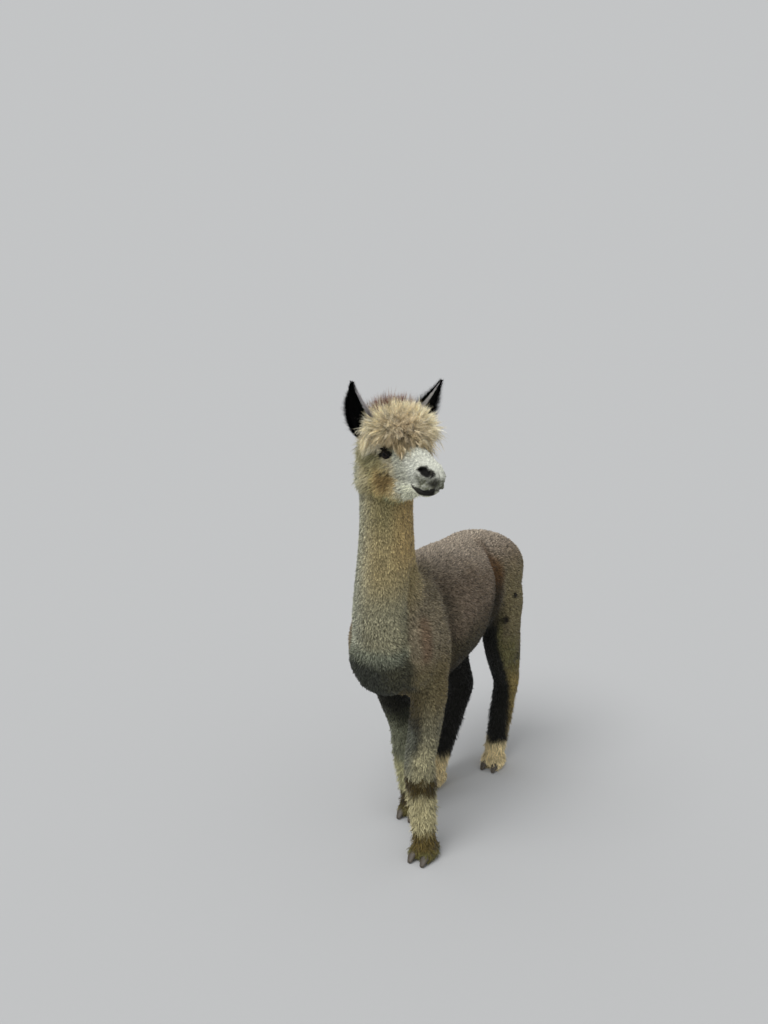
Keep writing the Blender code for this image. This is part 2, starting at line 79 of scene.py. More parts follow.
# name: z, half width, half depth forwards, half depth backwards, from the shoulder down
FORELEG = {
    "shoulder blade": (0.800, 0.040, 0.060, 0.075),
    "shoulder": (0.690, 0.058, 0.100, 0.095),
    "elbow": (0.560, 0.056, 0.078, 0.086),
    "forearm": (0.460, 0.057, 0.060, 0.066),
    "above the knee": (0.370, 0.054, 0.054, 0.055),
    "knee": (0.300, 0.055, 0.056, 0.053),
    "below the knee": (0.235, 0.053, 0.052, 0.054),
    "cannon": (0.160, 0.046, 0.046, 0.048),
    "fetlock": (0.085, 0.040, 0.040, 0.043),
    "pastern": (0.045, 0.037, 0.036, 0.038),
}
HINDLEG = {
    "haunch": (0.790, 0.055, 0.085, 0.095),
    "thigh": (0.680, 0.066, 0.125, 0.122),
    "stifle": (0.570, 0.064, 0.125, 0.104),
    "second thigh": (0.460, 0.062, 0.100, 0.076),
    "above the hock": (0.375, 0.056, 0.068, 0.060),
    "hock": (0.320, 0.053, 0.058, 0.057),
    "below the hock": (0.255, 0.049, 0.052, 0.052),
    "cannon": (0.165, 0.044, 0.045, 0.046),
    "fetlock": (0.085, 0.042, 0.042, 0.044),
    "pastern": (0.045, 0.038, 0.037, 0.039),
}
# each leg's line as z: x, y, from its top to its foot
LEG_LINES = {
    "fore_left": {0.80: (0.062, -0.170), 0.69: (0.088, -0.220), 0.54: (0.076, -0.240),
                  0.30: (0.068, -0.292), 0.045: (0.094, -0.305)},
    "fore_right": {0.80: (-0.086, -0.165), 0.69: (-0.112, -0.205), 0.54: (-0.126, -0.182),
                   0.30: (-0.083, -0.112), 0.045: (-0.046, -0.122)},
    "hind_left": {0.79: (0.066, 0.285), 0.68: (0.098, 0.298), 0.57: (0.102, 0.280),
                  0.32: (0.094, 0.358), 0.045: (0.073, 0.307)},
    "hind_right": {0.79: (-0.070, 0.270), 0.68: (-0.104, 0.265), 0.57: (-0.100, 0.215),
                   0.32: (-0.040, 0.245), 0.045: (-0.068, 0.085)},
}
FOOT_HEIGHT = 0.045  # of the last point of a leg's line
TOE_APART = 0.021  # of each toe's middle from the foot's
# name: y, z, half width, half depth outwards, half depth inwards, from the root down
TAIL = {
    "tail head": (0.395, 0.812, 0.044, 0.036, 0.036),
    "upper tail": (0.452, 0.776, 0.046, 0.036, 0.034),
    "middle tail": (0.476, 0.700, 0.048, 0.036, 0.032),
    "tail tip": (0.474, 0.622, 0.034, 0.026, 0.024),
}
BODY_VOXEL, BODY_SMOOTHING = 0.0050, 44  # metres; rounds at this voxel


def smooth_rows(rows, steps):
    """Rows of numbers joined by a cubic Hermite curve through all of them, `steps` per span:
    each span is start (2t^3-3t^2+1) + slope (t^3-2t^2+t) + end (3t^2-2t^3) + slope (t^3-t^2)."""
    table = np.array(rows, float)
    slopes = np.gradient(table, axis=0)
    t = np.tile(np.linspace(0, 1, steps, endpoint=False), len(table) - 1)[:, None]
    low = np.repeat(np.arange(len(table) - 1), steps)
    curve = (
        table[low] * (2 * t**3 - 3 * t**2 + 1) + slopes[low] * (t**3 - 2 * t**2 + t)
        + table[low + 1] * (3 * t**2 - 2 * t**3) + slopes[low + 1] * (t**3 - t**2)
    )
    return np.vstack([curve, table[-1:]])


def grid_faces(rings, around):
    """Quads of a grid of rings that close round, with the first and last ring capped by one face."""
    row, column = np.meshgrid(np.arange(rings - 1), np.arange(around), indexing="ij")
    after = (column + 1) % around
    quads = np.stack([row * around + column, row * around + after,
                      (row + 1) * around + after, (row + 1) * around + column], -1).reshape(-1, 4)
    caps = [np.arange(around)[::-1].tolist(), (np.arange(around) + (rings - 1) * around).tolist()]
    return quads.tolist() + caps


def tube(rows, across, squareness=2.0, egg=0.0, ring=32, steps=6, dome=6):
    """A closed tube through rows of x, y, z, half width, half fore, half aft. Round each ring
    of angle a the point is centre + side * w cos(a)^(2/n) (1 + egg sin a) + fore * d sin(a)^(2/n),
    where fore is travel x side; both ends are domed by rows that shrink as the cosine."""
    rows = smooth_rows(rows, steps)
    travel = np.gradient(rows[:, :3], axis=0)
    travel /= np.linalg.norm(travel, axis=1)[:, None]
    bend = np.linspace(0, np.pi / 2, dome, endpoint=False)[1:]
    ends = [
        np.hstack([row[:3] + np.outer(np.sin(bend) * 0.6 * row[3:].mean(), along),
                   np.outer(np.cos(bend), row[3:])])
        for row, along in ((rows[0], -travel[0]), (rows[-1], travel[-1]))
    ]
    rows = np.vstack([ends[0][::-1], rows, ends[1]])
    travel = np.vstack([np.tile(travel[:1], (dome - 1, 1)), travel, np.tile(travel[-1:], (dome - 1, 1))])
    side = np.array(across, float) - (travel @ np.array(across, float))[:, None] * travel
    side /= np.linalg.norm(side, axis=1)[:, None]
    fore = np.cross(travel, side)
    angle = np.linspace(0, 2 * np.pi, ring, endpoint=False)
    c, s = np.cos(angle), np.sin(angle)
    u = np.sign(c) * np.abs(c) ** (2 / squareness) * (1 + egg * s)
    v = np.sign(s) * np.abs(s) ** (2 / squareness)
    reach = np.where(v > 0, rows[:, 4:5], rows[:, 5:6]) * v
    points = rows[:, None, :3] + side[:, None] * (rows[:, 3:4] * u)[..., None] + fore[:, None] * reach[..., None]
    return points.reshape(-1, 3), grid_faces(len(rows), ring)


def ellipsoid(centre, radii, ring=32):
    """centre + radii * (cos e cos a, cos e sin a, sin e) over level angle a and height angle e."""
    high, level = np.meshgrid(np.linspace(-1.5, 1.5, ring // 2), np.linspace(0, 2 * np.pi, ring, endpoint=False),
                              indexing="ij")
    ball = np.stack([np.cos(high) * np.cos(level), np.cos(high) * np.sin(level), np.sin(high)], -1)
    return (ball * radii + centre).reshape(-1, 3), grid_faces(ring // 2, ring)


def new_mesh(name, points, faces):
    """A mesh from an array of points and either an array of triangles or a list of faces."""
    mesh = bpy.data.meshes.new(name)
    if isinstance(faces, list):
        mesh.from_pydata(points.tolist(), [], faces)
        return mesh
    mesh.vertices.add(len(points))
    mesh.loops.add(faces.size)
    mesh.polygons.add(len(faces))
    mesh.vertices.foreach_set("co", points.astype(np.float32).ravel())
    mesh.loops.foreach_set("vertex_index", faces.astype(np.int32).ravel())
    mesh.polygons.foreach_set("loop_start", np.arange(0, faces.size, 3, dtype=np.int32))
    mesh.update(calc_edges=True)
    return mesh


def new_piece(name, mesh):
    """An object at the origin that shows the mesh."""
    piece = bpy.data.objects.new(name, mesh)
    bpy.context.scene.collection.objects.link(piece)
    return piece


def mesh_arrays(mesh):
    """The points and triangles of a mesh."""
    mesh.calc_loop_triangles()
    points = np.empty(len(mesh.vertices) * 3, np.float32)
    mesh.vertices.foreach_get("co", points)
    faces = np.empty(len(mesh.loop_triangles) * 3, np.int32)
    mesh.loop_triangles.foreach_get("vertices", faces)
    return points.reshape(-1, 3).astype(float), faces.reshape(-1, 3)


def fused(shapes, voxel, smoothing, ratio=1.0):
    """The shapes fused by a voxel remesh, smoothed where they meet, and thinned to a share of faces."""
    starts = np.cumsum([0] + [len(points) for points, _ in shapes])
    faces = [[i + start for i in face] for (_, part), start in zip(shapes, starts) for face in part]
    rough = new_piece("rough", new_mesh("rough", np.vstack([points for points, _ in shapes]), faces))
    remesh = rough.modifiers.new("fuse", "REMESH")
    remesh.mode = "VOXEL"
    remesh.voxel_size = voxel
    soften = rough.modifiers.new("soften", "SMOOTH")
    soften.factor = 0.5
    soften.iterations = smoothing
    if ratio < 1:
        thin = rough.modifiers.new("thin", "DECIMATE")
        thin.ratio = ratio
        thin.use_collapse_triangulate = True
    arrays = mesh_arrays(rough.evaluated_get(bpy.context.evaluated_depsgraph_get()).to_mesh())
    bpy.data.objects.remove(rough)
    return arrays


def point_normals(points, faces):
    """Each point's outward direction, from the sum of its triangles' areas."""
    corners = points[faces]
    flat = np.cross(corners[:, 1] - corners[:, 0], corners[:, 2] - corners[:, 0])
    total = np.stack([
        sum(np.bincount(faces[:, k], flat[:, axis], len(points)) for k in range(3)) for axis in range(3)
    ], 1)
    return total / np.maximum(np.linalg.norm(total, axis=1), 1e-12)[:, None]


def ease(low, high, value):
    """0 below low, 1 above high and 3t^2 - 2t^3 between; low may be the larger."""
    t = np.clip((value - low) / (high - low), 0, 1)
    return t * t * (3 - 2 * t)


def leg_centre(leg, z):
    """The leg's line at the heights z, as x and y."""
    line = LEG_LINES[leg]
    levels = sorted(line)
    return [np.interp(z, levels, [line[level][axis] for level in levels]) for axis in (0, 1)]


def nearest_leg(t):
    """Which leg's line each point is nearest to at its own height, and its offset from it."""
    offsets = np.stack([t[:, :2] - np.column_stack(leg_centre(leg, t[:, 2])) for leg in LEG_LINES])
    nearest = np.linalg.norm(offsets, axis=2).argmin(0)
    return nearest, offsets[nearest, np.arange(len(t))]


def leg_tube(leg):
    """A leg's table carried down its line."""
    table = FORELEG if leg.startswith("fore") else HINDLEG
    rows = [(*leg_centre(leg, row[0]), *row) for row in table.values()]
    return tube(rows, (1, 0, 0), ring=28)


def toe_tubes(leg):
    """Two toes side by side, each a low capsule with a flat pad."""
    x, y = LEG_LINES[leg][FOOT_HEIGHT]
    return [
        tube([(x + off, y + 0.030, 0.024, 0.019, 0.024, 0.030),
              (x + off, y - 0.004, 0.026, 0.022, 0.026, 0.032),
              (x + off, y - 0.036, 0.020, 0.018, 0.019, 0.026)], (1, 0, 0), ring=20, steps=4)
        for off in (-TOE_APART, TOE_APART)
    ]


def trunk_row(y, top, bottom, half_width, x):
    """A row of TRUNK as a row of a tube, with its middle a little above half way up."""
    middle = bottom + 0.52 * (top - bottom)
    return x, y, middle, half_width, top - middle, middle - bottom


def outwards(p, axis, middle=0.0):
    """Points with one axis turned into the distance from its middle, so that both sides are one."""
    p = p.copy()
    p[:, axis] = np.abs(p[:, axis] - middle)
    return p


def distance_to_line(p, line):
    """Distance from each point to a bent line, and how far along it from 0 to 1 the nearest place is."""
    line = np.array(line, float)
    lengths = np.linalg.norm(np.diff(line, axis=0), axis=1)
    starts = np.concatenate([[0], np.cumsum(lengths)]) / lengths.sum()
    best, along = np.full(len(p), 1e9), np.zeros(len(p))
    for k in range(len(line) - 1):
        way = line[k + 1] - line[k]
        t = np.clip((p - line[k]) @ way / (way @ way), 0, 1)
        gap = np.linalg.norm(p - line[k] - t[:, None] * way, axis=1)
        along = np.where(gap < best, starts[k] + t * (starts[k + 1] - starts[k]), along)
        best = np.minimum(best, gap)
    return best, along


def coat_depth(p):
    """How far the skin lies inside the solids: thin on the trunk, thicker on the lower legs,
    and next to nothing at the pads of the feet."""
    _, y, z = p.T
    depth = 0.0085 + 0.0035 * ease(0.40, 0.24, z)
    depth = depth * (0.25 + 0.75 * ease(0.012, 0.075, z))
    tail = ease(0.425, 0.460, y) * ease(0.56, 0.60, z)
    return depth + 0.008 * tail


body_shapes = [
    tube([trunk_row(*row) for row in TRUNK.values()], (1, 0, 0), squareness=2.15, egg=0.02, ring=44),
    tube(list(NECK.values()), (1, 0, 0), squareness=2.1, ring=40),
]
for leg in LEG_LINES:
    body_shapes += [leg_tube(leg), *toe_tubes(leg)]
body_points, body_faces = fused(body_shapes, BODY_VOXEL, BODY_SMOOTHING, 0.32)

tail_rows = [(0, y, z, w, outward, inward) for y, z, w, outward, inward in TAIL.values()]
tail_points, tail_faces = fused([tube(tail_rows, (1, 0, 0), ring=24)], 0.004, 6)

# hollows pressed into both sides: line of x outwards from the midline, y, z; width and depth
MIDLINE = -0.012
HOLLOWS = {
    "before the shoulder": (((0.088, -0.350, 0.910), (0.100, -0.385, 0.800), (0.098, -0.412, 0.700),
                             (0.086, -0.385, 0.590), (0.055, -0.350, 0.530)), 0.022, 0.0180),
    "behind the shoulder": (((0.095, -0.195, 0.860), (0.142, -0.205, 0.760), (0.152, -0.190, 0.650),
                             (0.140, -0.175, 0.545)), 0.030, 0.0230),
    "flank": (((0.130, 0.165, 0.870), (0.170, 0.135, 0.780), (0.168, 0.108, 0.690), (0.150, 0.085, 0.590)),
              0.040, 0.0330),
    "under the hip": (((0.140, 0.250, 0.850), (0.155, 0.225, 0.760)), 0.030, 0.0080),
    "back of the thigh": (((0.150, 0.385, 0.740), (0.150, 0.355, 0.600)), 0.030, 0.0090),
}


def hollowed(p, normals):
    """The body with each hollow of depth d and width w worked in by d exp(-(distance / w)^2)."""
    mirrored = outwards(p, 0, MIDLINE)
    sink = np.zeros(len(p))
    for line, width, depth in HOLLOWS.values():
        gap, _ = distance_to_line(mirrored, line)
        sink += depth * np.exp(-((gap / width) ** 2))
    return p - normals * sink[:, None]


body_normals = point_normals(body_points, body_faces)
body_points = hollowed(body_points - body_normals * coat_depth(body_points)[:, None], body_normals)
body_points[:, 2] = np.maximum(body_points[:, 2], 0.0012)
tail_points -= point_normals(tail_points, tail_faces) * 0.015

# ================================================================ head of the skin
# The skull with its jaw, brow, cheeks and muzzle, worked out in the head's own axes (forwards,
# left, up, from midway between the eyes) and turned as the CAD eyes are. The lids, nostrils,
# lips and the parting of the lips are pressed into it.

SIDES = {"left": 1, "right": -1}
EYE_PLACE = np.array([0.012, 0.048, 0.006])  # forwards, outwards, up
EYE_RADIUS = 0.0175
HEAD_NOD = np.radians(8)
HEAD_CENTRE = np.array([0.066, -0.4225, 1.256])  # where the body's tables above hold the head

eye_middles = {side: sum(np.array(corner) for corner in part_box(f"eye_{side}")) / 2 for side in SIDES}
left_way = eye_middles["left"] - eye_middles["right"]
left_way /= np.linalg.norm(left_way)
level_way = np.cross(left_way, (0, 0, 1))
forward_way = level_way * np.cos(HEAD_NOD) - np.array([0, 0, 1]) * np.sin(HEAD_NOD)
HEAD_AXES = np.stack([forward_way, left_way, np.cross(forward_way, left_way)])
HEAD_ORIGIN = sum(eye_middles.values()) / 2 - np.array([EYE_PLACE[0], 0, EYE_PLACE[2]]) @ HEAD_AXES
MOVE = HEAD_ORIGIN - HEAD_CENTRE  # from the tables' origin to the frame's


def in_head(p):
    """Points of the frame in the head's own axes."""
    return (p - HEAD_ORIGIN) @ HEAD_AXES.T


def from_head(h):
    """Points of the head's own axes in the frame."""
    return (h.reshape(-1, 3) @ HEAD_AXES + HEAD_ORIGIN).reshape(h.shape)


# name: forward, up, half width, half height up, half height down
SKULL = {
    "nape": (-0.100, -0.020, 0.068, 0.052, 0.068),
    "poll": (-0.065, -0.012, 0.084, 0.070, 0.090),
    "temple": (-0.025, -0.008, 0.073, 0.066, 0.088),
    "brow": (0.008, -0.008, 0.062, 0.058, 0.078),
    "cheek": (0.045, -0.010, 0.052, 0.054, 0.066),
    "bridge": (0.085, -0.014, 0.041, 0.050, 0.050),
    "nose": (0.120, -0.018, 0.036, 0.040, 0.040),
    "nostrils": (0.145, -0.024, 0.034, 0.032, 0.034),
    "upper lip": (0.160, -0.032, 0.028, 0.024, 0.024),
}
JAW = {
    "jaw angle": (-0.032, -0.080, 0.064, 0.045, 0.060),
    "jowl": (0.015, -0.078, 0.050, 0.040, 0.050),
    "jaw bar": (0.060, -0.072, 0.036, 0.030, 0.032),
    "chin groove": (0.100, -0.066, 0.029, 0.022, 0.022),
    "chin": (0.130, -0.064, 0.028, 0.018, 0.021),
    "lower lip": (0.148, -0.062, 0.022, 0.012, 0.014),
}
# centre (with the side's sign on left) and radii of the swellings on each side
SWELLINGS = {
    "brow bone": ((0.004, 0.044, 0.010), (0.032, 0.021, 0.024)),
    "jowl": ((-0.030, 0.040, -0.070), (0.052, 0.028, 0.058)),
    "nostril": ((0.140, 0.021, -0.020), (0.026, 0.017, 0.020)),
    "lip": ((0.146, 0.015, -0.046), (0.024, 0.018, 0.016)),
}
KNOT_CENTRE = np.array([-0.015, -0.002, 0.062])
KNOT_CORE = np.array([0.076, 0.081, 0.044])  # the dense wool that the topknot's locks grow from
HEAD_VOXEL, HEAD_SMOOTHING = 0.0022, 7

head_shapes = [
    tube([(f, 0, u, w, above, below) for f, u, w, above, below in SKULL.values()], (0, 1, 0),
         squareness=2.15, egg=0.04, ring=48),
    tube([(f, 0, u, w, above, below) for f, u, w, above, below in JAW.values()], (0, 1, 0),
         squareness=2.2, ring=48),
    ellipsoid(KNOT_CENTRE, KNOT_CORE + 0.004),
]
for (f, l, u), radii in SWELLINGS.values():
    head_shapes += [ellipsoid((f, side * l, u), radii) for side in (-1, 1)]
head_points, head_faces = fused(head_shapes, HEAD_VOXEL, HEAD_SMOOTHING, 0.72)


def refined(points, faces, middles, reach):
    """Splits every triangle near a middle in four at its edges' midpoints, and those beside them
    in two to match."""
    near = np.zeros(len(points), bool)
    for middle in middles:
        near |= np.linalg.norm(points - middle, axis=1) < reach
    sides = np.sort(np.stack([faces, np.roll(faces, -1, 1)], -1), -1)
    split = near[sides].all(-1)
    keys = sides[..., 0] * len(points) + sides[..., 1]
    chosen, back = np.unique(keys[split], return_inverse=True)
    middle_index = np.full(keys.shape, -1)
    middle_index[split] = back + len(points)
    points = np.vstack([points, (points[chosen // len(points)] + points[chosen % len(points)]) / 2])
    count, corners = split.sum(1), np.hstack([faces, middle_index])  # corners 0 to 2, midpoints 3 to 5
    made = [faces[count == 0]]
    made += [corners[count == 3][:, four] for four in ([0, 3, 5], [1, 4, 3], [2, 5, 4], [3, 4, 5])]
    for a, b, c in ((0, 1, 2), (1, 2, 0), (2, 0, 1)):
        halved = corners[(count == 1) & split[:, a]]
        made += [halved[:, [a, a + 3, c]], halved[:, [a + 3, b, c]]]
    return points, np.vstack(made)


# lines on one side of the face, in the head's axes with left as the distance outwards
NOSTRIL = ((0.124, 0.036, -0.009), (0.137, 0.032, -0.006), (0.147, 0.027, -0.009), (0.154, 0.022, -0.013))
NOSTRIL_HALF_HEIGHT = (0.0014, 0.0068, 0.0104, 0.0090)  # at those four places
NOSTRIL_OUT = np.array([0.49, 0.85, 0.20])  # the way the nostril faces
LIPS = ((0.176, -0.001, -0.046), (0.168, 0.010, -0.050), (0.152, 0.023, -0.058), (0.128, 0.029, -0.0605),
        (0.100, 0.032, -0.0555), (0.078, 0.036, -0.047))
LID_TILT, LID_FORWARD = np.radians(15), np.radians(14)
LID_HALF_LENGTH, LID_ABOVE, LID_BELOW, LID_BACK = 0.0174, 0.0122, 0.0082, 0.0030  # of their opening
LID_THICK = 0.0010


def ball_middle(side):
    """The middle of an eyeball in the head's axes."""
    return EYE_PLACE * (1, side, 1)


def eye_axes(side):
    """Along the lids to the front, up between them and straight out, in the head's axes."""
    out = np.array([np.sin(LID_FORWARD), side * np.cos(LID_FORWARD), 0])
    along = np.array([np.cos(LID_FORWARD), -side * np.sin(LID_FORWARD), 0])
    up = np.array([0, 0, 1.0])
    return along * np.cos(LID_TILT) - up * np.sin(LID_TILT), up * np.cos(LID_TILT) + along * np.sin(LID_TILT), out


def lid_place(h, side):
    """How far a point is along, above and out of the middle of the lids' opening, and its ring:
    1 on the lids' edge. The opening's middle is LID_BACK behind the ball's."""
    along, up, out = eye_axes(side)
    r = h - ball_middle(side)
    a, b = r @ along + LID_BACK, r @ up
    return a, b, r @ out, np.hypot(a / LID_HALF_LENGTH, b / np.where(b > 0, LID_ABOVE, LID_BELOW))


def nostril_ring(half):
    """Distance from the nostril's middle line, seen straight on, over its half height: 1 at its rim."""
    flat = np.eye(3) - np.outer(NOSTRIL_OUT, NOSTRIL_OUT) / (NOSTRIL_OUT @ NOSTRIL_OUT)
    gap, along = distance_to_line(half @ flat, np.array(NOSTRIL) @ flat)
    return gap / np.interp(along, np.linspace(0, 1, len(NOSTRIL)), NOSTRIL_HALF_HEIGHT)


def lower_lip_ring(half):
    """Drop below the parting of the lips over the bare lip's height there: 1 at its lower edge."""
    line = np.array(LIPS)[::-1]
    drop = np.interp(half[:, 0], line[:, 0], line[:, 2]) - half[:, 2]
    height = 0.0008 + 0.0162 * ease(0.076, 0.126, half[:, 0])
    return np.where(drop > -0.0005, drop / height, 9.0)


def face_depth(h):
    """The coat's depth over the head: bare at the lips and nose, deepest on cheeks and poll."""
    depth = 0.0012 + 0.0028 * ease(0.160, 0.105, h[:, 0]) + 0.0030 * ease(0.060, -0.020, h[:, 0])
    depth += 0.0080 * ease(0.0, -0.055, h[:, 0])
    in_knot = np.linalg.norm((h - KNOT_CENTRE) / (KNOT_CORE + 0.006), axis=1) < 1.02
    return np.where(in_knot, 0.004, depth)


def pressed_face(h, normals):
    """The head's points with lips, nostrils, the cleft of the upper lip and the lids worked in.
    Each groove of depth d and width w moves a point inwards by d exp(-(distance / w)^2)."""
    half = outwards(h, 1)
    ring = nostril_ring(half)
    move = -0.0095 * ease(1.0, 0.45, ring) + 0.0015 * np.exp(-(((ring - 1.25) / 0.22) ** 2))
    gap, along = distance_to_line(half, LIPS)
    lip = ease(1.0, 0.86, along)
    move -= 0.0055 * lip * np.exp(-((gap / 0.0026) ** 2))
    move += 0.0022 * lip * np.exp(-(((gap - 0.0070) / 0.0036) ** 2)) * (1 + 0.6 * (half[:, 2] < -0.056))
    cleft = np.exp(-((h[:, 1] / 0.0022) ** 2)) * ease(0.155, 0.165, h[:, 0]) * ease(-0.046, -0.040, h[:, 2])
    move -= 0.0030 * cleft * ease(0.0, -0.016, h[:, 2])
    h = h + normals * move[:, None]
    for side in (-1, 1):
        middle = ball_middle(side)
        r = h - middle
        _, _, c, e = lid_place(h, side)
        lid = EYE_RADIUS + LID_THICK + 0.0011 * ease(1.0, 1.15, e) - 0.0035 * ease(1.04, 0.96, e)
        reach = np.linalg.norm(r, axis=1)
        hug = ease(2.15, 1.30, e) * ease(-0.004, 0.004, c)
        crease = 0.0011 * np.exp(-(((e - 1.75) / 0.14) ** 2)) * (c > 0)
        h = middle + r * ((1 - hug) + hug * lid / reach - crease / reach)[:, None]
    return h


eye_spots = [ball_middle(side) + eye_axes(side)[2] * EYE_RADIUS for side in (-1, 1)]
head_points, head_faces = refined(head_points, head_faces, [(0.148, 0, -0.035)], 0.055)
head_points, head_faces = refined(head_points, head_faces, eye_spots, 0.026)
head_points, head_faces = refined(head_points, head_faces, eye_spots, 0.021)
head_normals = point_normals(head_points, head_faces)
head_points = head_points - head_normals * face_depth(head_points)[:, None]
head_points = pressed_face(head_points, head_normals)

# ================================================================ ears of the skin
# Two spear-shaped ears of gristle and hide, hollow on one side. Each is a crescent carried along
# a bent path from the side of the skull to a point that turns in a little.

EAR_HALF_WIDTH, EAR_CUP, EAR_WALL = 0.0385, 0.022, 0.0034
# root, bend and tip of each ear and the side its hollow faces, in the head's own axes, then the
# share of the full width that it opens to
EARS = {
    "left": ((-0.060, 0.054, 0.035), (-0.052, 0.100, 0.080), (-0.004, 0.122, 0.196), (0.86, -0.50, 0.0), 0.84),
    "right": ((-0.060, -0.054, 0.035), (-0.062, -0.103, 0.075), (-0.056, -0.130, 0.184), (-0.34, 0.94, 0.0), 1.0),
}


def ear_place(name, t, a, inside):
    """Points of an ear in the head's axes, and the ways along and out of it: at t from root to tip
    and a from edge to edge the point is path(t) + across w a - front d (1 - a^2), with
    w = half width (0.70 + 1.15 t - 1.85 t^2), drawn in near the tip. Where `inside` is 1 the point
    is on the hollow side, a wall's thickness forward."""
    root, bend, tip, opening = (np.array(place) for place in EARS[name][:4])
    t, a = t[..., None], a[..., None]
    centre = root * (1 - t) ** 2 + bend * 2 * t * (1 - t) + tip * t**2
    along = (bend - root) * (1 - t) + (tip - bend) * t
    along = along / np.linalg.norm(along, axis=-1, keepdims=True)
    across = np.cross(along, opening)
    across /= np.linalg.norm(across, axis=-1, keepdims=True)
    front = np.cross(across, along)
    wide = EAR_HALF_WIDTH * EARS[name][4] * np.maximum(0.70 + 1.15 * t - 1.85 * t**2, 0)
    wide = wide * (1 - 0.35 * ease(0.55, 1.0, t)) + 0.0002
    deep = EAR_CUP * (1 - 0.6 * t) * wide / EAR_HALF_WIDTH
    wall = EAR_WALL * (1 - 0.4 * t) * np.minimum(1, wide / 0.010) * (1 - a**4) * inside
    place = centre + across * wide * a * (1 - 0.04 * inside) + front * (wall - deep * (1 - a * a) + 0.1 * deep * inside)
    return place, along, front


def ear_shape(name, rings=46, arc=18):
    """One closed shell: each ring runs over the outer side from edge to edge and back inside."""
    a = np.linspace(-1, 1, arc)
    t = np.linspace(0.0, 0.99, rings)
    a_all = np.concatenate([a, a[::-1]])
    inside = np.concatenate([np.zeros(arc), np.ones(arc)])
    tt, aa = np.meshgrid(t, a_all, indexing="ij")
    place, _, _ = ear_place(name, tt, aa, inside[None, :, None])
    return place.reshape(-1, 3), grid_faces(rings, 2 * arc)


# ================================================================ one skin
# The body, tail, head and ears become one closed hide. Each keeps a number for what it is, so
# that the coat can be laid by place, and the join behind the head is smoothed over.

part_slots = [bpy.data.materials.new(f"part_{k}") for k in range(4)]
BODY, TAIL_PART, HEAD_PART, EAR_PART = range(4)


def numbered(name, points, faces, number):
    """A piece whose faces all carry the part's number, facing outwards."""
    mesh = new_mesh(name, points, faces)
    for entry in part_slots:
        mesh.materials.append(entry)
    mesh.polygons.foreach_set("material_index", np.full(len(mesh.polygons), number, np.int32))
    corners = (points - points.mean(0))[np.array([face[:3] for face in faces])]
    if np.einsum("ij,ij->", corners[:, 0], np.cross(corners[:, 1], corners[:, 2])) < 0:
        mesh.flip_normals()
    return new_piece(name, mesh)


skin = numbered("skin", body_points + MOVE, body_faces, BODY)
others = [numbered("tail_part", tail_points + MOVE, tail_faces, TAIL_PART),
          numbered("head_part", from_head(head_points), head_faces, HEAD_PART)]
for name in EARS:
    ear_points, ear_faces = ear_shape(name)
    others.append(numbered(f"ear_part_{name}", from_head(ear_points), ear_faces, EAR_PART))
for other in others:
    union = skin.modifiers.new("with " + other.name, "BOOLEAN")
    union.operation, union.solver, union.object = "UNION", "MANIFOLD", other
hide = bpy.data.meshes.new_from_object(skin.evaluated_get(bpy.context.evaluated_depsgraph_get()))
for other in [skin, *others]:
    bpy.data.objects.remove(other)
skin_points, skin_faces = mesh_arrays(hide)
skin_part = np.empty(len(hide.loop_triangles), np.int32)
hide.loop_triangles.foreach_get("material_index", skin_part)
bpy.data.meshes.remove(hide)
for entry in part_slots:
    bpy.data.materials.remove(entry)


def edges_of(points, faces):
    """The two ends of every edge, each edge once."""
    sides = np.sort(np.vstack([faces[:, :2], faces[:, 1:], faces[:, ::2]]), 1)
    keys = np.unique(sides[:, 0].astype(np.int64) * len(points) + sides[:, 1])
    return keys // len(points), keys % len(points)


def relaxed_joins(points, faces, part, spread=9, rounds=14):
    """Where parts meet, each round moves a point towards the mean of its neighbours, by a half at
    the join and less further off."""
    a, b = edges_of(points, faces)
    lowest, highest = np.full(len(points), 99), np.full(len(points), -1)
    for k in range(3):
        np.minimum.at(lowest, faces[:, k], part)
        np.maximum.at(highest, faces[:, k], part)
    weight = (lowest != highest).astype(float)
    for _ in range(spread):
        wider = weight.copy()
        np.maximum.at(wider, a, weight[b] - 1 / spread)
        np.maximum.at(wider, b, weight[a] - 1 / spread)
        weight = wider
    count = np.bincount(a, minlength=len(points)) + np.bincount(b, minlength=len(points))
    points = points.copy()
    for _ in range(rounds):
        mean = np.stack([
            np.bincount(a, points[b, k], len(points)) + np.bincount(b, points[a, k], len(points)) for k in range(3)
        ], 1) / count[:, None]
        points += (mean - points) * 0.5 * weight[:, None]
    return points


skin_points = relaxed_joins(skin_points, skin_faces, skin_part)
skin_normals = point_normals(skin_points, skin_faces)

# ================================================================ markings
# The same colours for hide and coat: taupe body that is paler along the back, fawn neck, grey
# breast, white face with a brown patch on the cheek, cream wool, and dark bands on the legs.
# Some of it is painted light and shade: the paler back and the darker lower barrel and belly are
# partly light from above. The creases of shoulder and flank, the insides of the legs, the temple
# and the back corner of each eye are darkened as painted shade. The right side of neck and bib
# is painted paler as if lit.


def shade(red, green, blue):
    """A colour as a screen shows it, 0 to 255, as light: ((c / 255 + 0.055) / 1.055) ^ 2.4."""
    return ((np.array([red, green, blue]) / 255 + 0.055) / 1.055) ** 2.4


def mottle(p, size, seed):
    """Smooth random patches about `size` across, from -1 to 1: the mean of sines along random ways."""
    chance = np.random.default_rng(seed)
    ways = chance.normal(size=(9, 3))
    ways *= (2 * np.pi / (size * chance.uniform(0.7, 1.6, 9)) / np.linalg.norm(ways, axis=1))[:, None]
    return np.sin(p @ ways.T + chance.uniform(0, 6.28, 9)).sum(1) / 4.2


def plain(tint, count):
    """One colour for each of `count` points, from its red, green and blue."""
    return np.tile(shade(*tint), (count, 1))


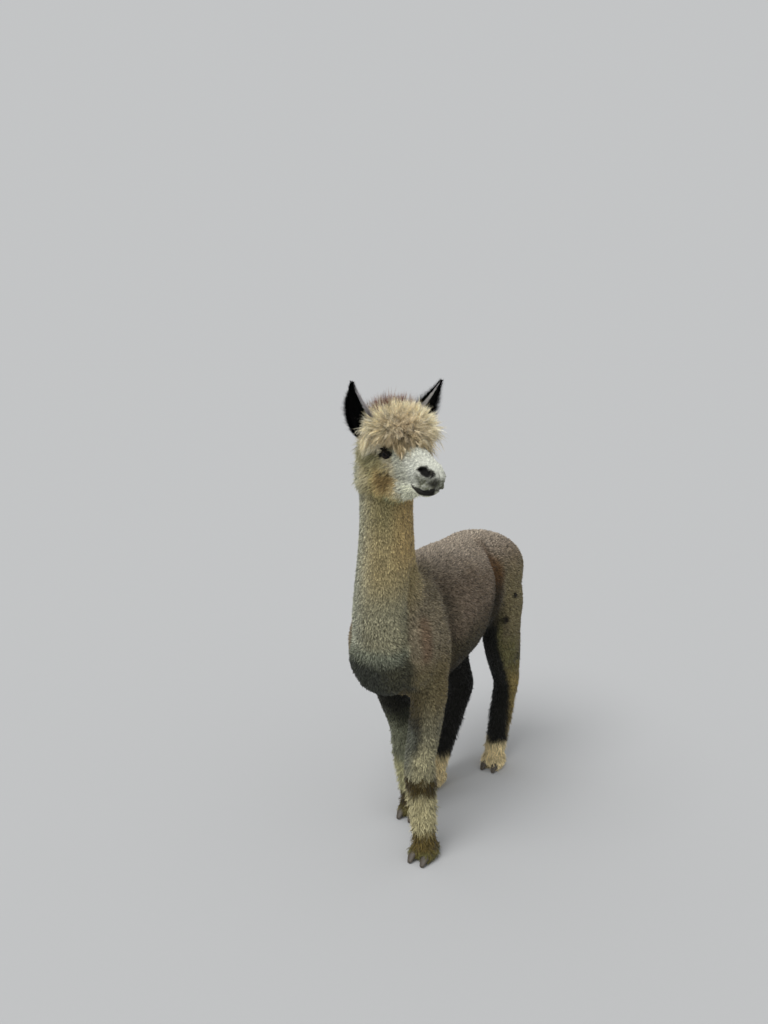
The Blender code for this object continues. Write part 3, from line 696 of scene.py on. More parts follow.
def painted(colour, *layers):
    """Lays each tint over what is there as strongly as its mask from 0 to 1 says. A tint is red,
    green and blue, or an array of colours."""
    for tint, mask in layers:
        tint = shade(*tint) if isinstance(tint, tuple) else tint
        colour = colour + (tint - colour) * np.clip(mask, 0, 1)[:, None]
    return colour


def above_neck_root(t):
    """Height above the slope where the neck leaves the shoulders."""
    return t[:, 2] - 0.735 - (t[:, 1] + 0.56) * 0.537


# x outwards from the midline, y, z
RED_STREAK = ((0.118, -0.345, 0.765), (0.132, -0.352, 0.672))
THIGH_SPOTS = ((0.258, 0.694, 0.014), (0.197, 0.621, 0.019), (0.330, 0.560, 0.010))  # y, z, radius
# half width of the pale bib on the chest, by height
BIB_HEIGHT, BIB_HALF_WIDTH = (0.60, 0.70, 0.80, 0.91), (0.080, 0.094, 0.098, 0.090)


def body_markings(p):
    """Colours of trunk, neck, legs and tail from where a point lies in the body's tables."""
    t = p - MOVE
    x, y, z = t.T
    wave = mottle(p, 0.10, 3)
    side = x - MIDLINE
    half = outwards(t, 0, MIDLINE)
    folds = ("flank", "behind the shoulder", "before the shoulder")
    flank, behind, before = (distance_to_line(half, HOLLOWS[fold][0])[0] for fold in folds)
    streak, _ = distance_to_line(half, RED_STREAK)
    thigh = ease(0.14, 0.22, y) * ease(0.44, 0.52, z)
    ochre = np.hypot(y - 0.160, 0.5 * (z - 0.812))
    shoulder = ease(-0.13, -0.27, y + 0.02 * wave) * ease(0.36, 0.44, z)
    spots = [(y - spot_y, z - spot_z, reach) for spot_y, spot_z, reach in THIGH_SPOTS]
    neck = ease(-0.07, 0.07, above_neck_root(t) + 0.015 * wave)
    round_side = np.where(side > 0, side, -0.85 * side) - np.interp(z, BIB_HEIGHT, BIB_HALF_WIDTH) + y + 0.395
    bib = ease(0.012, -0.016, round_side + 0.006 * wave) * ease(-0.22, -0.30, y)
    patch = ease(-0.28, -0.38, y) * ease(0.676, 0.640, z + 0.006 * wave) * ease(0.105, 0.065, x)
    colour = painted(
        plain((120, 106, 90), len(p)),
        # painted light and shade, partly the coat's own colour: the back is paler as light from above makes it, and the
        # lower barrel and belly are darker as in shade
        ((158, 146, 130), ease(0.82, 0.915, z + 0.012 * wave)),  # the back
        ((73, 67, 51), ease(0.74, 0.63, z + 0.015 * wave)),  # the lower barrel
        ((50, 46, 36), ease(0.65, 0.54, z + 0.010 * wave)),  # the belly
        ((124, 114, 84), 0.9 * thigh * ease(0.88, 0.74, z)),
        # painted shade: the flank's hollow is darkened, more strongly on the left side
        ((24, 17, 6), np.where(x > 0, 0.92, 0.55) * ease(0.110, 0.022, flank + 0.008 * wave)
         * ease(0.88, 0.74, z) * ease(0.22, 0.16, y)),
        ((94, 62, 26), np.where(x > 0, 0.60, 0.30) * ease(0.052, 0.018, ochre + 0.006 * wave)),
        # painted shade low on the barrel, in front of the flank
        ((56, 50, 38), 0.7 * ease(-0.08, 0.08, y) * ease(0.80, 0.70, z) * ease(0.22, 0.14, y)),
        ((128, 118, 97), shoulder),
        ((116, 104, 73), shoulder * ease(0.70, 0.58, z)),
        # painted shade in the crease behind the shoulder
        ((52, 46, 36), 0.75 * ease(0.046, 0.008, behind + 0.006 * wave)
         * ease(0.90, 0.80, z) * ease(0.54, 0.64, z)),
        ((118, 92, 72), 0.60 * ease(0.036, 0.006, streak)),
        *(((26, 21, 15), ease(reach, 0.45 * reach, np.hypot(0.8 * along, up)) * (x > 0)) for along, up, reach in spots),
        ((166, 152, 112), neck),
        ((146, 136, 97), neck * ease(0.99, 1.09, z)),
        ((198, 186, 146), neck * ease(1.165, 1.200, z + 0.010 * wave)),
        ((198, 172, 118), 0.85 * neck * ease(0.035, 0.075, x) * ease(0.90, 1.0, z)),
        # painted light: the neck's right side is made paler, as where the light catches it
        ((194, 188, 158), neck * ease(0.02, -0.07, x)),
        ((148, 144, 118), bib * ease(0.93, 0.80, z)),
        # painted light: the bib's right side is made paler, as if lit
        ((162, 163, 144), bib * ease(-0.01, -0.08, x)),
        ((114, 117, 100), bib * ease(0.72, 0.68, z)),
        # painted shade in the crease before the shoulder
        ((84, 74, 54), 0.55 * ease(0.022, 0.006, before) * ease(0.92, 0.84, z)),
        ((54, 56, 48), patch),  # the dark grey breast below the bib
        ((72, 71, 56), patch * ease(0.0, 0.06, x)),
        ((118, 109, 82), ease(-0.24, -0.32, y) * ease(0.64, 0.58, z) * ease(0.06, 0.10, x)),
    )
    nearest, offset = nearest_leg(t)
    for k, leg in enumerate(LEG_LINES):
        mine = nearest == k
        across, back = offset[mine].T
        outward = across * (1 if "left" in leg else -1)
        bands, cover = leg_bands(leg, z[mine] + 0.010 * mottle(p[mine], 0.03, 5), outward, back)
        colour[mine] = painted(colour[mine], (bands, cover))
    return colour


def leg_bands(leg, z, outward, back):
    """A leg's colours from its height and how far out and back of its middle a point is, and how
    strongly they cover the body's."""
    # the inner side of each leg, which is darkened: partly darker fur, partly painted shade between the legs
    inner = ease(0.006, -0.020, outward + 0.4 * back)
    if leg == "fore_left":
        return painted(
            plain((124, 120, 98), len(z)),
            ((162, 156, 124), ease(0.42, 0.32, z)),
            # painted shade on the inner side, over darker fur
            ((42, 42, 36), inner * ease(0.31, 0.37, z) * 0.95),
            ((112, 114, 100), 0.8 * ease(0.012, -0.022, outward) * ease(0.27, 0.30, z) * ease(0.45, 0.40, z)),
            ((72, 61, 32), ease(0.276, 0.260, z) * (0.80 + 0.20 * (back < 0))),  # band below the knee
            ((190, 181, 140), ease(0.236, 0.208, z)),
            ((106, 91, 49), ease(0.112, 0.086, z)),
            ((104, 101, 58), ease(0.050, 0.024, z)),
        ), ease(0.52, 0.40, z)
    if leg == "fore_right":
        return painted(
            plain((48, 48, 39), len(z)),
            ((88, 90, 72), 0.9 * ease(0.42, 0.33, z) * (0.75 + 0.25 * ease(-0.02, 0.02, outward))),
            # painted shade on the inner side, over darker fur
            ((36, 36, 30), inner * ease(0.36, 0.42, z) * 0.8),
            ((130, 132, 110), ease(0.360, 0.300, z)),
            ((182, 178, 138), ease(0.235, 0.190, z)),
            ((76, 66, 42), ease(0.112, 0.090, z)),
            ((112, 104, 64), ease(0.060, 0.034, z)),
        ), ease(0.58, 0.48, z)
    colour = plain((32, 32, 28), len(z))
    if leg == "hind_left":
        edge = np.interp(z, (0.12, 0.30, 0.40, 0.52), (0.020, 0.000, -0.022, -0.056))
        fawn = painted(plain((148, 130, 80), len(z)), ((109, 104, 68), ease(0.34, 0.46, z)))
        outer_back = 0.75 * outward + 0.66 * back
        colour = painted(colour, (fawn, ease(-0.008, 0.014, outer_back - edge) * ease(0.10, 0.15, z)))
    colour = painted(colour, ((240, 222, 174), ease(0.128, 0.098, z)))  # cream feet
    cover = np.maximum(ease(0.50, 0.42, z), ease(0.58, 0.50, z) * ease(0.02, -0.05, back))
    # the inner side takes the dark colour as well: black fur, partly painted shade
    return colour, np.maximum(cover, inner * ease(0.66, 0.58, z))


def head_markings(h):
    """Colours of the head from its own axes."""
    f, l, u = h.T
    half = outwards(h, 1)
    wave, fine = mottle(h, 0.030, 8), mottle(h, 0.011, 9)
    forward = f + 0.010 * wave + 0.30 * (u + 0.05) * (u < -0.05)
    fawn = 1 - np.hypot((f + 0.012) / 0.050, (u + 0.068) / 0.058)
    patch = 1 - np.hypot((f - 0.016) / 0.032, (u + 0.074 + 0.3 * (f - 0.016)) / 0.037)
    core = 1 - np.hypot((f - 0.014) / 0.024, (u + 0.066) / 0.026)
    under_wool = np.linalg.norm((h - KNOT_CENTRE) / (KNOT_CORE + 0.010), axis=1) < 1.04
    side_of_nose = ease(0.104, 0.130, f) * ease(-0.016, -0.030, u) * ease(-0.066, -0.056, u)
    lip_tip = np.hypot(np.hypot(f - 0.164, 0.9 * (l + 0.010)), 0.62 * (u + 0.030))
    nose_tip = np.hypot(np.hypot(f - 0.161, 1.1 * (u + 0.013)), l + 0.017)
    nostril = nostril_ring(half)
    gap, along = distance_to_line(half, LIPS)
    parting = ease(0.0046, 0.0026, gap) * ease(1.0, 0.93, along) * (1 - 0.75 * ease(0.002, 0.010, l))
    lower_lip = ease(1.10, 0.86, lower_lip_ring(half) + 0.08 * fine) * (1 - 0.60 * ease(0.0, 0.010, l))
    colour = painted(
        plain((153, 147, 114), len(h)),
        ((214, 202, 164), ease(0.0, -0.035, u + 0.006 * wave)),
        ((196, 196, 178), ease(0.010, 0.052, forward)),
        ((218, 219, 206), ease(0.060, 0.105, forward)),
        ((192, 183, 154), ease(0.034, 0.014, np.hypot(f - 0.020, u + 0.020))),
        ((172, 172, 132), ease(-0.085, -0.115, u) * ease(0.08, 0.03, f)),
        ((228, 229, 203), 0.7 * ease(-0.056, -0.066, u) * ease(0.055, 0.080, f)),
        # painted shade: the temple is darkened olive under the edge of the wool
        ((122, 120, 86), 0.55 * ease(0.045, 0.018, np.hypot(f + 0.042, u + 0.004))),
        ((162, 152, 100), 0.75 * ease(-0.25, 0.45, fawn + 0.30 * wave + 0.15 * fine)
         * ease(0.062, 0.010, f + 0.010 * wave)),
        ((184, 162, 112), 0.90 * ease(-0.42, 0.42, patch + 0.40 * wave + 0.30 * fine)),
        ((134, 112, 72), 0.90 * ease(-0.10, 0.50, core + 0.30 * fine + 0.20 * mottle(h, 0.006, 10))),
        ((176, 162, 128), under_wool),
        ((100, 102, 82), side_of_nose * (0.8 + 0.35 * fine)),
        ((36, 35, 30), 0.92 * ease(0.0175, 0.0085, lip_tip + 0.002 * fine)),
        ((30, 29, 26), ease(0.0140, 0.0080, nose_tip + 0.0015 * fine)),
        ((58, 56, 50), 0.85 * ease(1.55, 1.10, nostril + 0.12 * fine)),
        ((24, 23, 21), ease(1.12, 0.92, nostril)),
        ((27, 26, 20), np.maximum(parting, lower_lip)),
    )
    for side in (-1, 1):
        a, b, c, ring = lid_place(h, side)
        # the lids' dark rim, partly their own dark skin and partly painted shade: it widens at the back corner and over
        # the top front, under the lashes
        edge = 1.16 + 0.66 * ease(0.006, -0.010, a) - 0.14 * ease(0.0, -0.006, b)
        edge += 0.22 * ease(0.002, 0.008, b) * ease(-0.008, 0.004, a)
        corner = ease(0.0050, 0.0022, np.hypot(0.45 * (a + 0.0225), b - 0.0012))
        rim = np.maximum(ease(edge + 0.08, edge - 0.04, ring), 0.85 * corner)
        colour = painted(colour, ((24, 22, 18), rim * (c > 0)))
    return colour


def ear_markings(name, t, a, inside):
    """Black, with a pale stripe down the hollow of the left ear and a pale inner rim on the right."""
    if name == "left":
        pale = inside * ease(0.36, 0.18, np.abs(a + 0.34)) * ease(0.99, 0.90, t) * ease(0.18, 0.34, t)
    else:
        pale = ease(-0.88, -0.96, a) * ease(0.15, 0.30, t) * ease(0.95, 0.80, t)
    return painted(plain((8, 9, 9), t.size), ((222, 219, 220), pale))


def skin_markings(p, part):
    """Each skin point's colour by the part that it belongs to; an ear's is that of the nearest of
    a grid of places on both of its sides."""
    colour = body_markings(p)
    h = in_head(p)
    head = part == HEAD_PART
    colour[head] = head_markings(h[head])
    t, a = (x.ravel() for x in np.meshgrid(np.linspace(0, 0.985, 40), np.linspace(-1, 1, 25), indexing="ij"))
    for name in EARS:
        mine = (part == EAR_PART) & ((h[:, 1] > 0) == (name == "left"))
        places = np.concatenate([ear_place(name, t, a, inside)[0] for inside in (0.0, 1.0)])
        shades = np.concatenate([ear_markings(name, t, a, inside) for inside in (0.0, 1.0)])
        colour[mine] = shades[np.linalg.norm(h[mine][:, None] - places, axis=2).argmin(1)]
    return colour


class Value:
    """A number socket of a finish; + - * / and ** on it add Math nodes and give a new one."""

    def __init__(self, finish, socket):
        self.finish, self.socket = finish, socket

    def maths(self, operation, *others):
        """The result of one Math node."""
        node = self.finish.node("ShaderNodeMath", {"operation": operation}, *others)
        return Value(self.finish, node.outputs[0])

    def __add__(self, other): return self.maths("ADD", self, other)
    def __radd__(self, other): return self.maths("ADD", other, self)
    def __rsub__(self, other): return self.maths("SUBTRACT", other, self)
    def __mul__(self, other): return self.maths("MULTIPLY", self, other)
    def __rmul__(self, other): return self.maths("MULTIPLY", other, self)
    def __truediv__(self, other): return self.maths("DIVIDE", self, other)
    def __pow__(self, other): return self.maths("POWER", self, other)


class Finish:
    """A material with one method that adds any node."""

    def __init__(self, name, constants):
        self.material = bpy.data.materials.new(name)
        self.material.use_nodes = True
        self.tree = self.material.node_tree
        self.shader = self.tree.nodes["Principled BSDF"]
        for socket, value in constants.items():
            self.shader.inputs[socket].default_value = value

    def plug(self, socket, value):
        """Links a value or socket into a socket, or sets it as a constant."""
        if isinstance(value, Value):
            value = value.socket
        if isinstance(value, bpy.types.NodeSocket):
            self.tree.links.new(value, socket)
        else:
            socket.default_value = value

    def node(self, kind, settings=None, *ordered, **named):
        """A node with its settings, then its sockets by order or by name (with _ for a space)."""
        node = self.tree.nodes.new(kind)
        for key, value in (settings or {}).items():
            setattr(node, key, value)
        for socket, value in zip(node.inputs, ordered):
            self.plug(socket, value)
        for key, value in named.items():
            self.plug(node.inputs[key.replace("_", " ")], value)
        return node

    def attribute(self, name):
        """The node that reads what the mesh stores for its points under this name."""
        return self.node("ShaderNodeAttribute", {"attribute_name": name})

    def noise(self, scale, detail=3.0, stretch=(1, 1, 1)):
        """Noise from 0 to 1 on the piece's own place in metres, squeezed by `stretch`."""
        place = self.node("ShaderNodeTexCoord").outputs["Object"]
        place = self.node("ShaderNodeMapping", None, Vector=place, Scale=stretch).outputs[0]
        return Value(self, self.node("ShaderNodeTexNoise", None, Vector=place, Scale=scale, Detail=detail).outputs[0])

    def tinted(self, colour, strength):
        """A colour made lighter or darker by a number socket."""
        return self.node("ShaderNodeVectorMath", {"operation": "SCALE"}, Vector=colour, Scale=strength).outputs[0]

    def mixed(self, a, b, mask):
        """Colour a where the mask is 0 and b where it is 1."""
        node = self.node("ShaderNodeMix", {"data_type": "RGBA"})
        for index, value in ((0, mask), (6, a), (7, b)):
            self.plug(node.inputs[index], value)
        return node.outputs[2]

    def finish(self, colour, height=None, distance=0.001, roughness=None):
        """Links the base colour, a bump of `distance` metres and the roughness."""
        self.plug(self.shader.inputs["Base Color"], colour)
        if height is not None:
            bump = self.node("ShaderNodeBump", None, Height=height, Distance=distance)
            self.plug(self.shader.inputs["Normal"], bump.outputs[0])
        if roughness is not None:
            self.plug(self.shader.inputs["Roughness"], roughness)
        return self.material


def coloured(mesh, name, colours):
    """Stores a colour for each point."""
    layer = mesh.attributes.new(name, "FLOAT_COLOR", "POINT")
    layer.data.foreach_set("color", np.hstack([colours, np.ones((len(colours), 1))]).astype(np.float32).ravel())


point_part = np.zeros(len(skin_points), np.int32)
for k in range(3):
    point_part[skin_faces[:, k]] = np.maximum(point_part[skin_faces[:, k]], skin_part)
skin_shades = skin_markings(skin_points, point_part)

hide_finish = Finish("short hair over hide", {"Roughness": 0.85, "Specular IOR Level": 0.25})
hair_grain = hide_finish.noise(420, 4.0, (1, 1, 0.45))
hair_patch = hide_finish.noise(70, 3.0)
hide_tint = hide_finish.tinted(hide_finish.attribute("markings").outputs["Color"],
                               0.52 + 0.45 * hair_grain + 0.35 * hair_patch)
bare = Value(hide_finish, hide_finish.attribute("bare").outputs["Fac"])
hide_material = hide_finish.finish(hide_tint, hair_grain, 0.0011, 0.88 - 0.42 * bare)

skin_mesh = new_mesh("skin", skin_points, skin_faces)
coloured(skin_mesh, "markings", skin_shades)
lip_gap, _ = distance_to_line(outwards(in_head(skin_points), 1), LIPS)
bare_spots = (point_part == HEAD_PART) * ease(0.010, 0.003, lip_gap)
skin_mesh.attributes.new("bare", "FLOAT", "POINT").data.foreach_set("value", bare_spots.astype(np.float32))
skin_mesh.materials.append(hide_material)
skin_mesh.shade_smooth()
skin = new_piece("skin", skin_mesh)
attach(skin, "root")
flesh = [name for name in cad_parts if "nail" not in name and not name.startswith("eye_")]
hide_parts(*flesh)

# ================================================================ eyes
# Large dark eyes, set deep: a ball with a bulging wet front, near-black iris, even darker round its
# edge, and a level pupil. Stiff dark lashes stand from the upper lid.

IRIS_REACH = 0.62  # radians from the middle of the eye to the iris's edge
BALL_RINGS, BALL_AROUND = 44, 56


def eyeball(side, rings, around):
    """Middle + r(q) (out cos q + ring(a) sin q) over the angle q from the front and a round it,
    where r(q) = R (1 + 0.05 exp(-(q / 0.5)^2)) so that the front bulges."""
    along, up, out = eye_axes(side)
    q = np.linspace(0.02, np.pi - 0.02, rings)[:, None, None]
    a = np.linspace(0, 2 * np.pi, around, endpoint=False)[None, :, None]
    r = EYE_RADIUS * (1 + 0.05 * np.exp(-((q / 0.5) ** 2)))
    h = ball_middle(side) + r * (out * np.cos(q) + (along * np.cos(a) + up * np.sin(a)) * np.sin(q))
    return from_head(h.reshape(-1, 3)), np.stack([(q * np.cos(a)).ravel(), (q * np.sin(a)).ravel()], 1)


eye_finish = Finish("wet eye", {"Roughness": 0.10, "Coat Weight": 0.12, "Coat Roughness": 0.02,
                                "Specular IOR Level": 0.05})
gaze = eye_finish.node("ShaderNodeSeparateXYZ", None, eye_finish.attribute("gaze").outputs["Vector"])
gaze_x, gaze_y = (Value(eye_finish, gaze.outputs[k]) for k in (0, 1))
from_middle = (gaze_x * gaze_x + gaze_y * gaze_y) ** 0.5
pupil_edge = ((gaze_x / 0.40) ** 2 + (gaze_y / 0.20) ** 2)
in_pupil = eye_finish.node("ShaderNodeMapRange", None, pupil_edge, 0.85, 1.15, 1.0, 0.0).outputs[0]
streak = eye_finish.noise(900, 4.0)
rim = eye_finish.node("ShaderNodeMapRange", None, from_middle, IRIS_REACH, IRIS_REACH + 0.10, 0.0, 1.0).outputs[0]
iris = eye_finish.mixed((0.006, 0.004, 0.003, 1), (0.018, 0.011, 0.007, 1), streak)
iris = eye_finish.mixed(iris, (0.004, 0.003, 0.003, 1), rim)
eye_material = eye_finish.finish(eye_finish.mixed(iris, (0.002, 0.002, 0.003, 1), in_pupil))
for name, side in SIDES.items():
    ball_points, ball_gaze = eyeball(side, BALL_RINGS, BALL_AROUND)
    mesh = new_mesh(f"eyeball_{name}", ball_points, grid_faces(BALL_RINGS, BALL_AROUND))
    mesh.attributes.new("gaze", "FLOAT_VECTOR", "POINT").data.foreach_set(
        "vector", np.hstack([ball_gaze, np.zeros((len(ball_gaze), 1))]).astype(np.float32).ravel())
    if side < 0:
        mesh.flip_normals()
    mesh.materials.append(eye_material)
    mesh.shade_smooth()
    ball = new_piece(f"eyeball_{name}", mesh)
    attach(ball, "root")
    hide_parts(f"eye_{name}")

# ================================================================ toenails
# Two blunt nails of dark horn on each foot, ridged across where they grew and rubbed at the tip.
# Each lies along the top of its toe and reaches a little past it.

NAIL_LENGTH, NAIL_HALF_WIDTH = 0.026, 0.0125


def nail(x, y, rings=22, around=24):
    """Rings of half width w = 12.5 mm (1 - 0.55 t^2) whose top falls as t^1.3 and underside as t:
    each point is the ring's middle + (w cos a, 0, h sin a), the ring standing t of the length on."""
    t = np.concatenate([[0, 0], np.linspace(0, 1, rings - 3), [1]])[:, None]
    shrink = np.concatenate([[0.3, 0.75], np.ones(rings - 4), [0.86, 0.35]])[:, None]
    a = np.linspace(0, 2 * np.pi, around, endpoint=False)[None]
    top, bottom = 0.030 - 0.022 * t**1.3, 0.014 - 0.0115 * t
    ridge = 1 + 0.018 * np.sin(t * 34)
    points = np.stack(np.broadcast_arrays(
        x + NAIL_HALF_WIDTH * (1 - 0.55 * t**2) * shrink * ridge * np.cos(a),
        y - 0.036 - NAIL_LENGTH * t,
        (top + bottom) / 2 + (top - bottom) / 2 * shrink * ridge * np.sin(a),
    ), -1)
    return points.reshape(-1, 3), grid_faces(rings, around)


horn = Finish("dark horn", {"Roughness": 0.5})
rings_of_growth = horn.noise(260, 3.0, (0.4, 3.0, 0.4))
horn_colour = horn.mixed((0.030, 0.024, 0.018, 1), (0.110, 0.088, 0.062, 1), rings_of_growth)
horn_material = horn.finish(horn_colour, rings_of_growth, 0.0006, 0.35 + 0.3 * rings_of_growth)
for leg, line in LEG_LINES.items():
    limb = leg.replace("fore", "foreleg").replace("hind", "hindleg")
    x, y = line[FOOT_HEIGHT]
    for toe, off in (("inner", -TOE_APART), ("outer", TOE_APART)):
        nail_points, nail_faces = nail(x + off * (1 if x > 0 else -1), y)
        mesh = new_mesh(f"{limb}_{toe}_horn", nail_points + MOVE, nail_faces)
        mesh.materials.append(horn_material)
        mesh.shade_smooth()
        piece = new_piece(f"{limb}_{toe}_horn", mesh)
        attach(piece, "root")
        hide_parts(f"{limb}_nail_{toe}")

# ================================================================ shorn fleece of trunk, neck and thighs
# Fleece a few months after shearing: dense short tufts that lie back and down over the body.
# Each tuft is a thin leaf of three faces, rooted in the skin, and coloured as its root.

rng = np.random.default_rng(29)
face_corners = skin_points[skin_faces]
face_area = np.linalg.norm(np.cross(face_corners[:, 1] - face_corners[:, 0],
                                    face_corners[:, 2] - face_corners[:, 0]), axis=1) / 2
face_middle = face_corners.mean(1)
table_middle = face_middle - MOVE
head_middle = in_head(face_middle)

fleece_finish = Finish("fleece", {"Roughness": 0.95, "Specular IOR Level": 0.12, "Sheen Weight": 0.30,
                                  "Sheen Roughness": 0.5})
fleck = fleece_finish.noise(260, 2.0)
fleece_material = fleece_finish.finish(
    fleece_finish.tinted(fleece_finish.attribute("markings").outputs["Color"], 0.48 + 1.04 * fleck))


def scattered_roots(chosen, per_square_metre):
    """Roots scattered evenly over the chosen triangles: a random share of each corner, folded back
    inside the triangle, with the triangle's count rounded by chance."""
    wanted = face_area * chosen * per_square_metre
    count = np.floor(wanted + rng.random(len(wanted))).astype(int)
    face = np.repeat(np.arange(len(wanted)), count)
    share = rng.random((len(face), 2))
    share = np.where(share.sum(1, keepdims=True) > 1, 1 - share, share)
    share = np.column_stack([1 - share.sum(1), share])[..., None]
    corners = skin_faces[face]
    normals = (skin_normals[corners] * share).sum(1)
    return (skin_points[corners] * share).sum(1), normals / np.linalg.norm(normals, axis=1)[:, None], face


def unit(v):
    """v / |v| along the last axis."""
    return v / np.maximum(np.linalg.norm(v, axis=-1, keepdims=True), 1e-9)


def leaves(spine, side, width):
    """Thin leaves: two points across the spine at each step, at spine -+ side width / 2, and one
    at the tip. Returns points and triangles, and each point's place over its leaf from 0 to 1."""
    count, steps, _ = spine.shape
    across = np.array([-0.5, 0.5])[None, None, :, None]
    pairs = spine[:, :-1, None] + side[:, None, None] * width[:, :-1, None, None] * across
    points = np.concatenate([pairs.reshape(count, -1, 3), spine[:, -1:]], 1)
    low = 2 * np.arange(steps - 2)[:, None]
    pattern = np.vstack([low + [0, 1, 3], low + [0, 3, 2], [[2 * steps - 4, 2 * steps - 3, 2 * steps - 2]]])
    faces = (np.arange(count)[:, None, None] * (2 * steps - 1) + pattern).reshape(-1, 3)
    along = np.append(np.repeat(np.arange(steps - 1), 2), steps - 1) / (steps - 1)
    over_leaf = np.column_stack([np.append(np.tile([0.0, 1.0], steps - 1), 0.5), along])
    return points, faces, over_leaf


PATCH = 0.003  # of the unwrap that one tuft covers


def coat_piece(name, spine, side, width, colours, unwrap, slot, finish=fleece_material, dark_root=0.72):
    """A piece of coat from the tufts' spines. Each tuft keeps its root's colour, darker at the root,
    partly as its fibre is and partly as painted shade deep in the coat, and its own small patch at
    the root's place on the unwrap of the skin."""
    points, faces, over_leaf = leaves(spine, side, width)
    points[..., 2] = np.maximum(points[..., 2], 0.0003)
    mesh = new_mesh(name, points.reshape(-1, 3), faces)
    # the root's end is darker: partly the fibre's colour, partly painted shade deep in the coat
    tone = dark_root + (1.10 - dark_root) * over_leaf[:, 1] ** 0.7
    coloured(mesh, "markings", (colours[:, None] * tone[None, :, None]).reshape(-1, 3))
    spots = np.clip(unwrap[:, None], 0.004, 0.996) + (over_leaf - 0.5) * PATCH
    layer = mesh.uv_layers.new(name="OFBake")
    layer.data.foreach_set("uv", spots.reshape(-1, 2)[faces.ravel()].astype(np.float32).ravel())
    mesh.materials.append(finish)
    mesh.shade_smooth()
    piece = new_piece(name, mesh)
    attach(piece, "root")
    return piece


def lying(root, normal, lie, length, lift, bend, steps, fall=0.0):
    """Spines that leave the skin at `lift` radians and bend over: at t the spine is root +
    L (lie cos(lift) t + normal (sin(lift) t - bend t^2)) with `fall` of the length downwards as t^2."""
    t = np.linspace(0, 1, steps)[None, :, None]
    length, lift = length[:, None, None], lift[:, None, None]
    rise = normal[:, None] * (np.sin(lift) * t - bend * t**2)
    spine = root[:, None] + length * (lie[:, None] * np.cos(lift) * t + rise)
    spine[..., 2] -= (length * fall * t**2)[..., 0]
    spine[..., 2] = np.maximum(spine[..., 2], 0.0008)
    return spine - normal[:, None] * 0.0008


def combed(way, normal, p, stray, seed):
    """The way laid into the skin and turned from side to side by patches and by chance."""
    lie = unit(way - (way * normal).sum(1)[:, None] * normal)
    side = np.cross(lie, normal)
    turn = 0.35 * mottle(p, 0.022, seed) + stray * rng.normal(size=len(p))
    return unit(lie * np.cos(turn)[:, None] + side * np.sin(turn)[:, None])


def body_lie(t):
    """Back and down over the trunk, down the neck and the legs."""
    way = np.tile([0.0, 0.80, -0.60], (len(t), 1))
    neck = ease(-0.10, 0.08, above_neck_root(t))[:, None]
    way = way * (1 - neck) + np.array([0, 0.10, -1.0]) * neck
    leg = ease(0.58, 0.42, t[:, 2])[:, None]
    return way * (1 - leg) + np.array([0, 0.05, -1.0]) * leg


def round_middle(offset_a, offset_b, along, low, high):
    """An unwrap of a tube: the angle round its middle across, and the place along it upwards."""
    return np.column_stack([np.arctan2(offset_a, offset_b) / (2 * np.pi) + 0.5, (along - low) / (high - low)])


def by_chance(middle, spread):
    """Random numbers about each middle value; without a spread nothing is drawn."""
    return middle if spread is None else middle + spread * rng.normal(size=len(middle))


def tufts(name, root, normal, lie, size, lift, width, tone, colours, spots, slot, taper, bend, roll, dark_root,
          least=None, flat=1.0, fall=0.0, wave=None):
    """A piece of coat grown from its roots. Size, width, lift and tone are each a middle value, its
    spread by chance and, for the last two, the limits; `least` is the shortest size, `flat` lowers
    the lift, `roll` turns the leaves about their length, and a wave has a height and its turns."""
    count, along = len(root), np.linspace(0, 1, len(taper))
    size = by_chance(*size) if least is None else np.maximum(by_chance(*size), least)
    lift = np.clip(by_chance(*lift[:2]), *lift[2:]) * flat
    spine = lying(root, normal, lie, size, lift, bend, len(taper), fall)
    side = unit(np.cross(lie, normal) + normal * rng.normal(size=count)[:, None] * roll)
    if wave:
        height, turns = wave
        curl = height * along * np.sin(2 * np.pi * (turns * along + rng.random((count, 1))))
        spine += side[:, None] * curl[..., None]
    wide = by_chance(*width)[:, None] * np.array(taper)
    tone = np.clip(by_chance(*tone[:2]), *tone[2:])[:, None]
    return coat_piece(name, spine, side, wide, colours * tone, spots, slot, dark_root=dark_root)


def shorn_fleece(name, chosen, density, unwrap, slot, length, width, seed):
    """Short fleece over the chosen triangles, its length, lift and tone varied by small patches."""
    root, normal, _ = scattered_roots(chosen, density)
    t, one = root - MOVE, np.ones(len(root))
    lie = combed(body_lie(t), normal, root, 0.30, seed)
    size = length * (1 + 0.11 * mottle(root, 0.012, seed + 1))
    tone = 1 + 0.24 * mottle(root, 0.007, seed + 3) + 0.08 * mottle(root, 0.024, seed + 4)
    tufts(name, root, normal, lie, (size, 0.14 * length),
          (0.62 + 0.20 * mottle(root, 0.009, seed + 2), 0.16, 0.2, 1.15), (width * one, 0.2 * width),
          (tone, 0.40, 0.40, 2.0), body_markings(root), unwrap(t), slot, (1.0, 0.8, 0.0),
          bend=0.22, roll=0.45, dark_root=0.62)


def trunk_unwrap(t):
    """Round the barrel and along it from chest to rump."""
    return round_middle(t[:, 2] - 0.70, t[:, 0], t[:, 1], -0.42, 0.46)


def neck_unwrap(t):
    """Round the neck and up it."""
    return round_middle(t[:, 1] + 0.37, t[:, 0], t[:, 2], 0.66, 1.26)


FLEECE = dict(length=0.0125, width=0.0034, density=120000, seed=11)  # density in tufts to a square metre
NECK_FLEECE = dict(length=0.0098, width=0.0023, density=190000, seed=17)
is_body = skin_part == BODY
is_neck = is_body & (above_neck_root(table_middle) > 0)
is_low_leg = is_body & (table_middle[:, 2] < 0.30) & ~is_neck
is_trunk = is_body & ~is_neck & ~is_low_leg
is_left, is_high = table_middle[:, 0] > 0, table_middle[:, 2] > 0.50

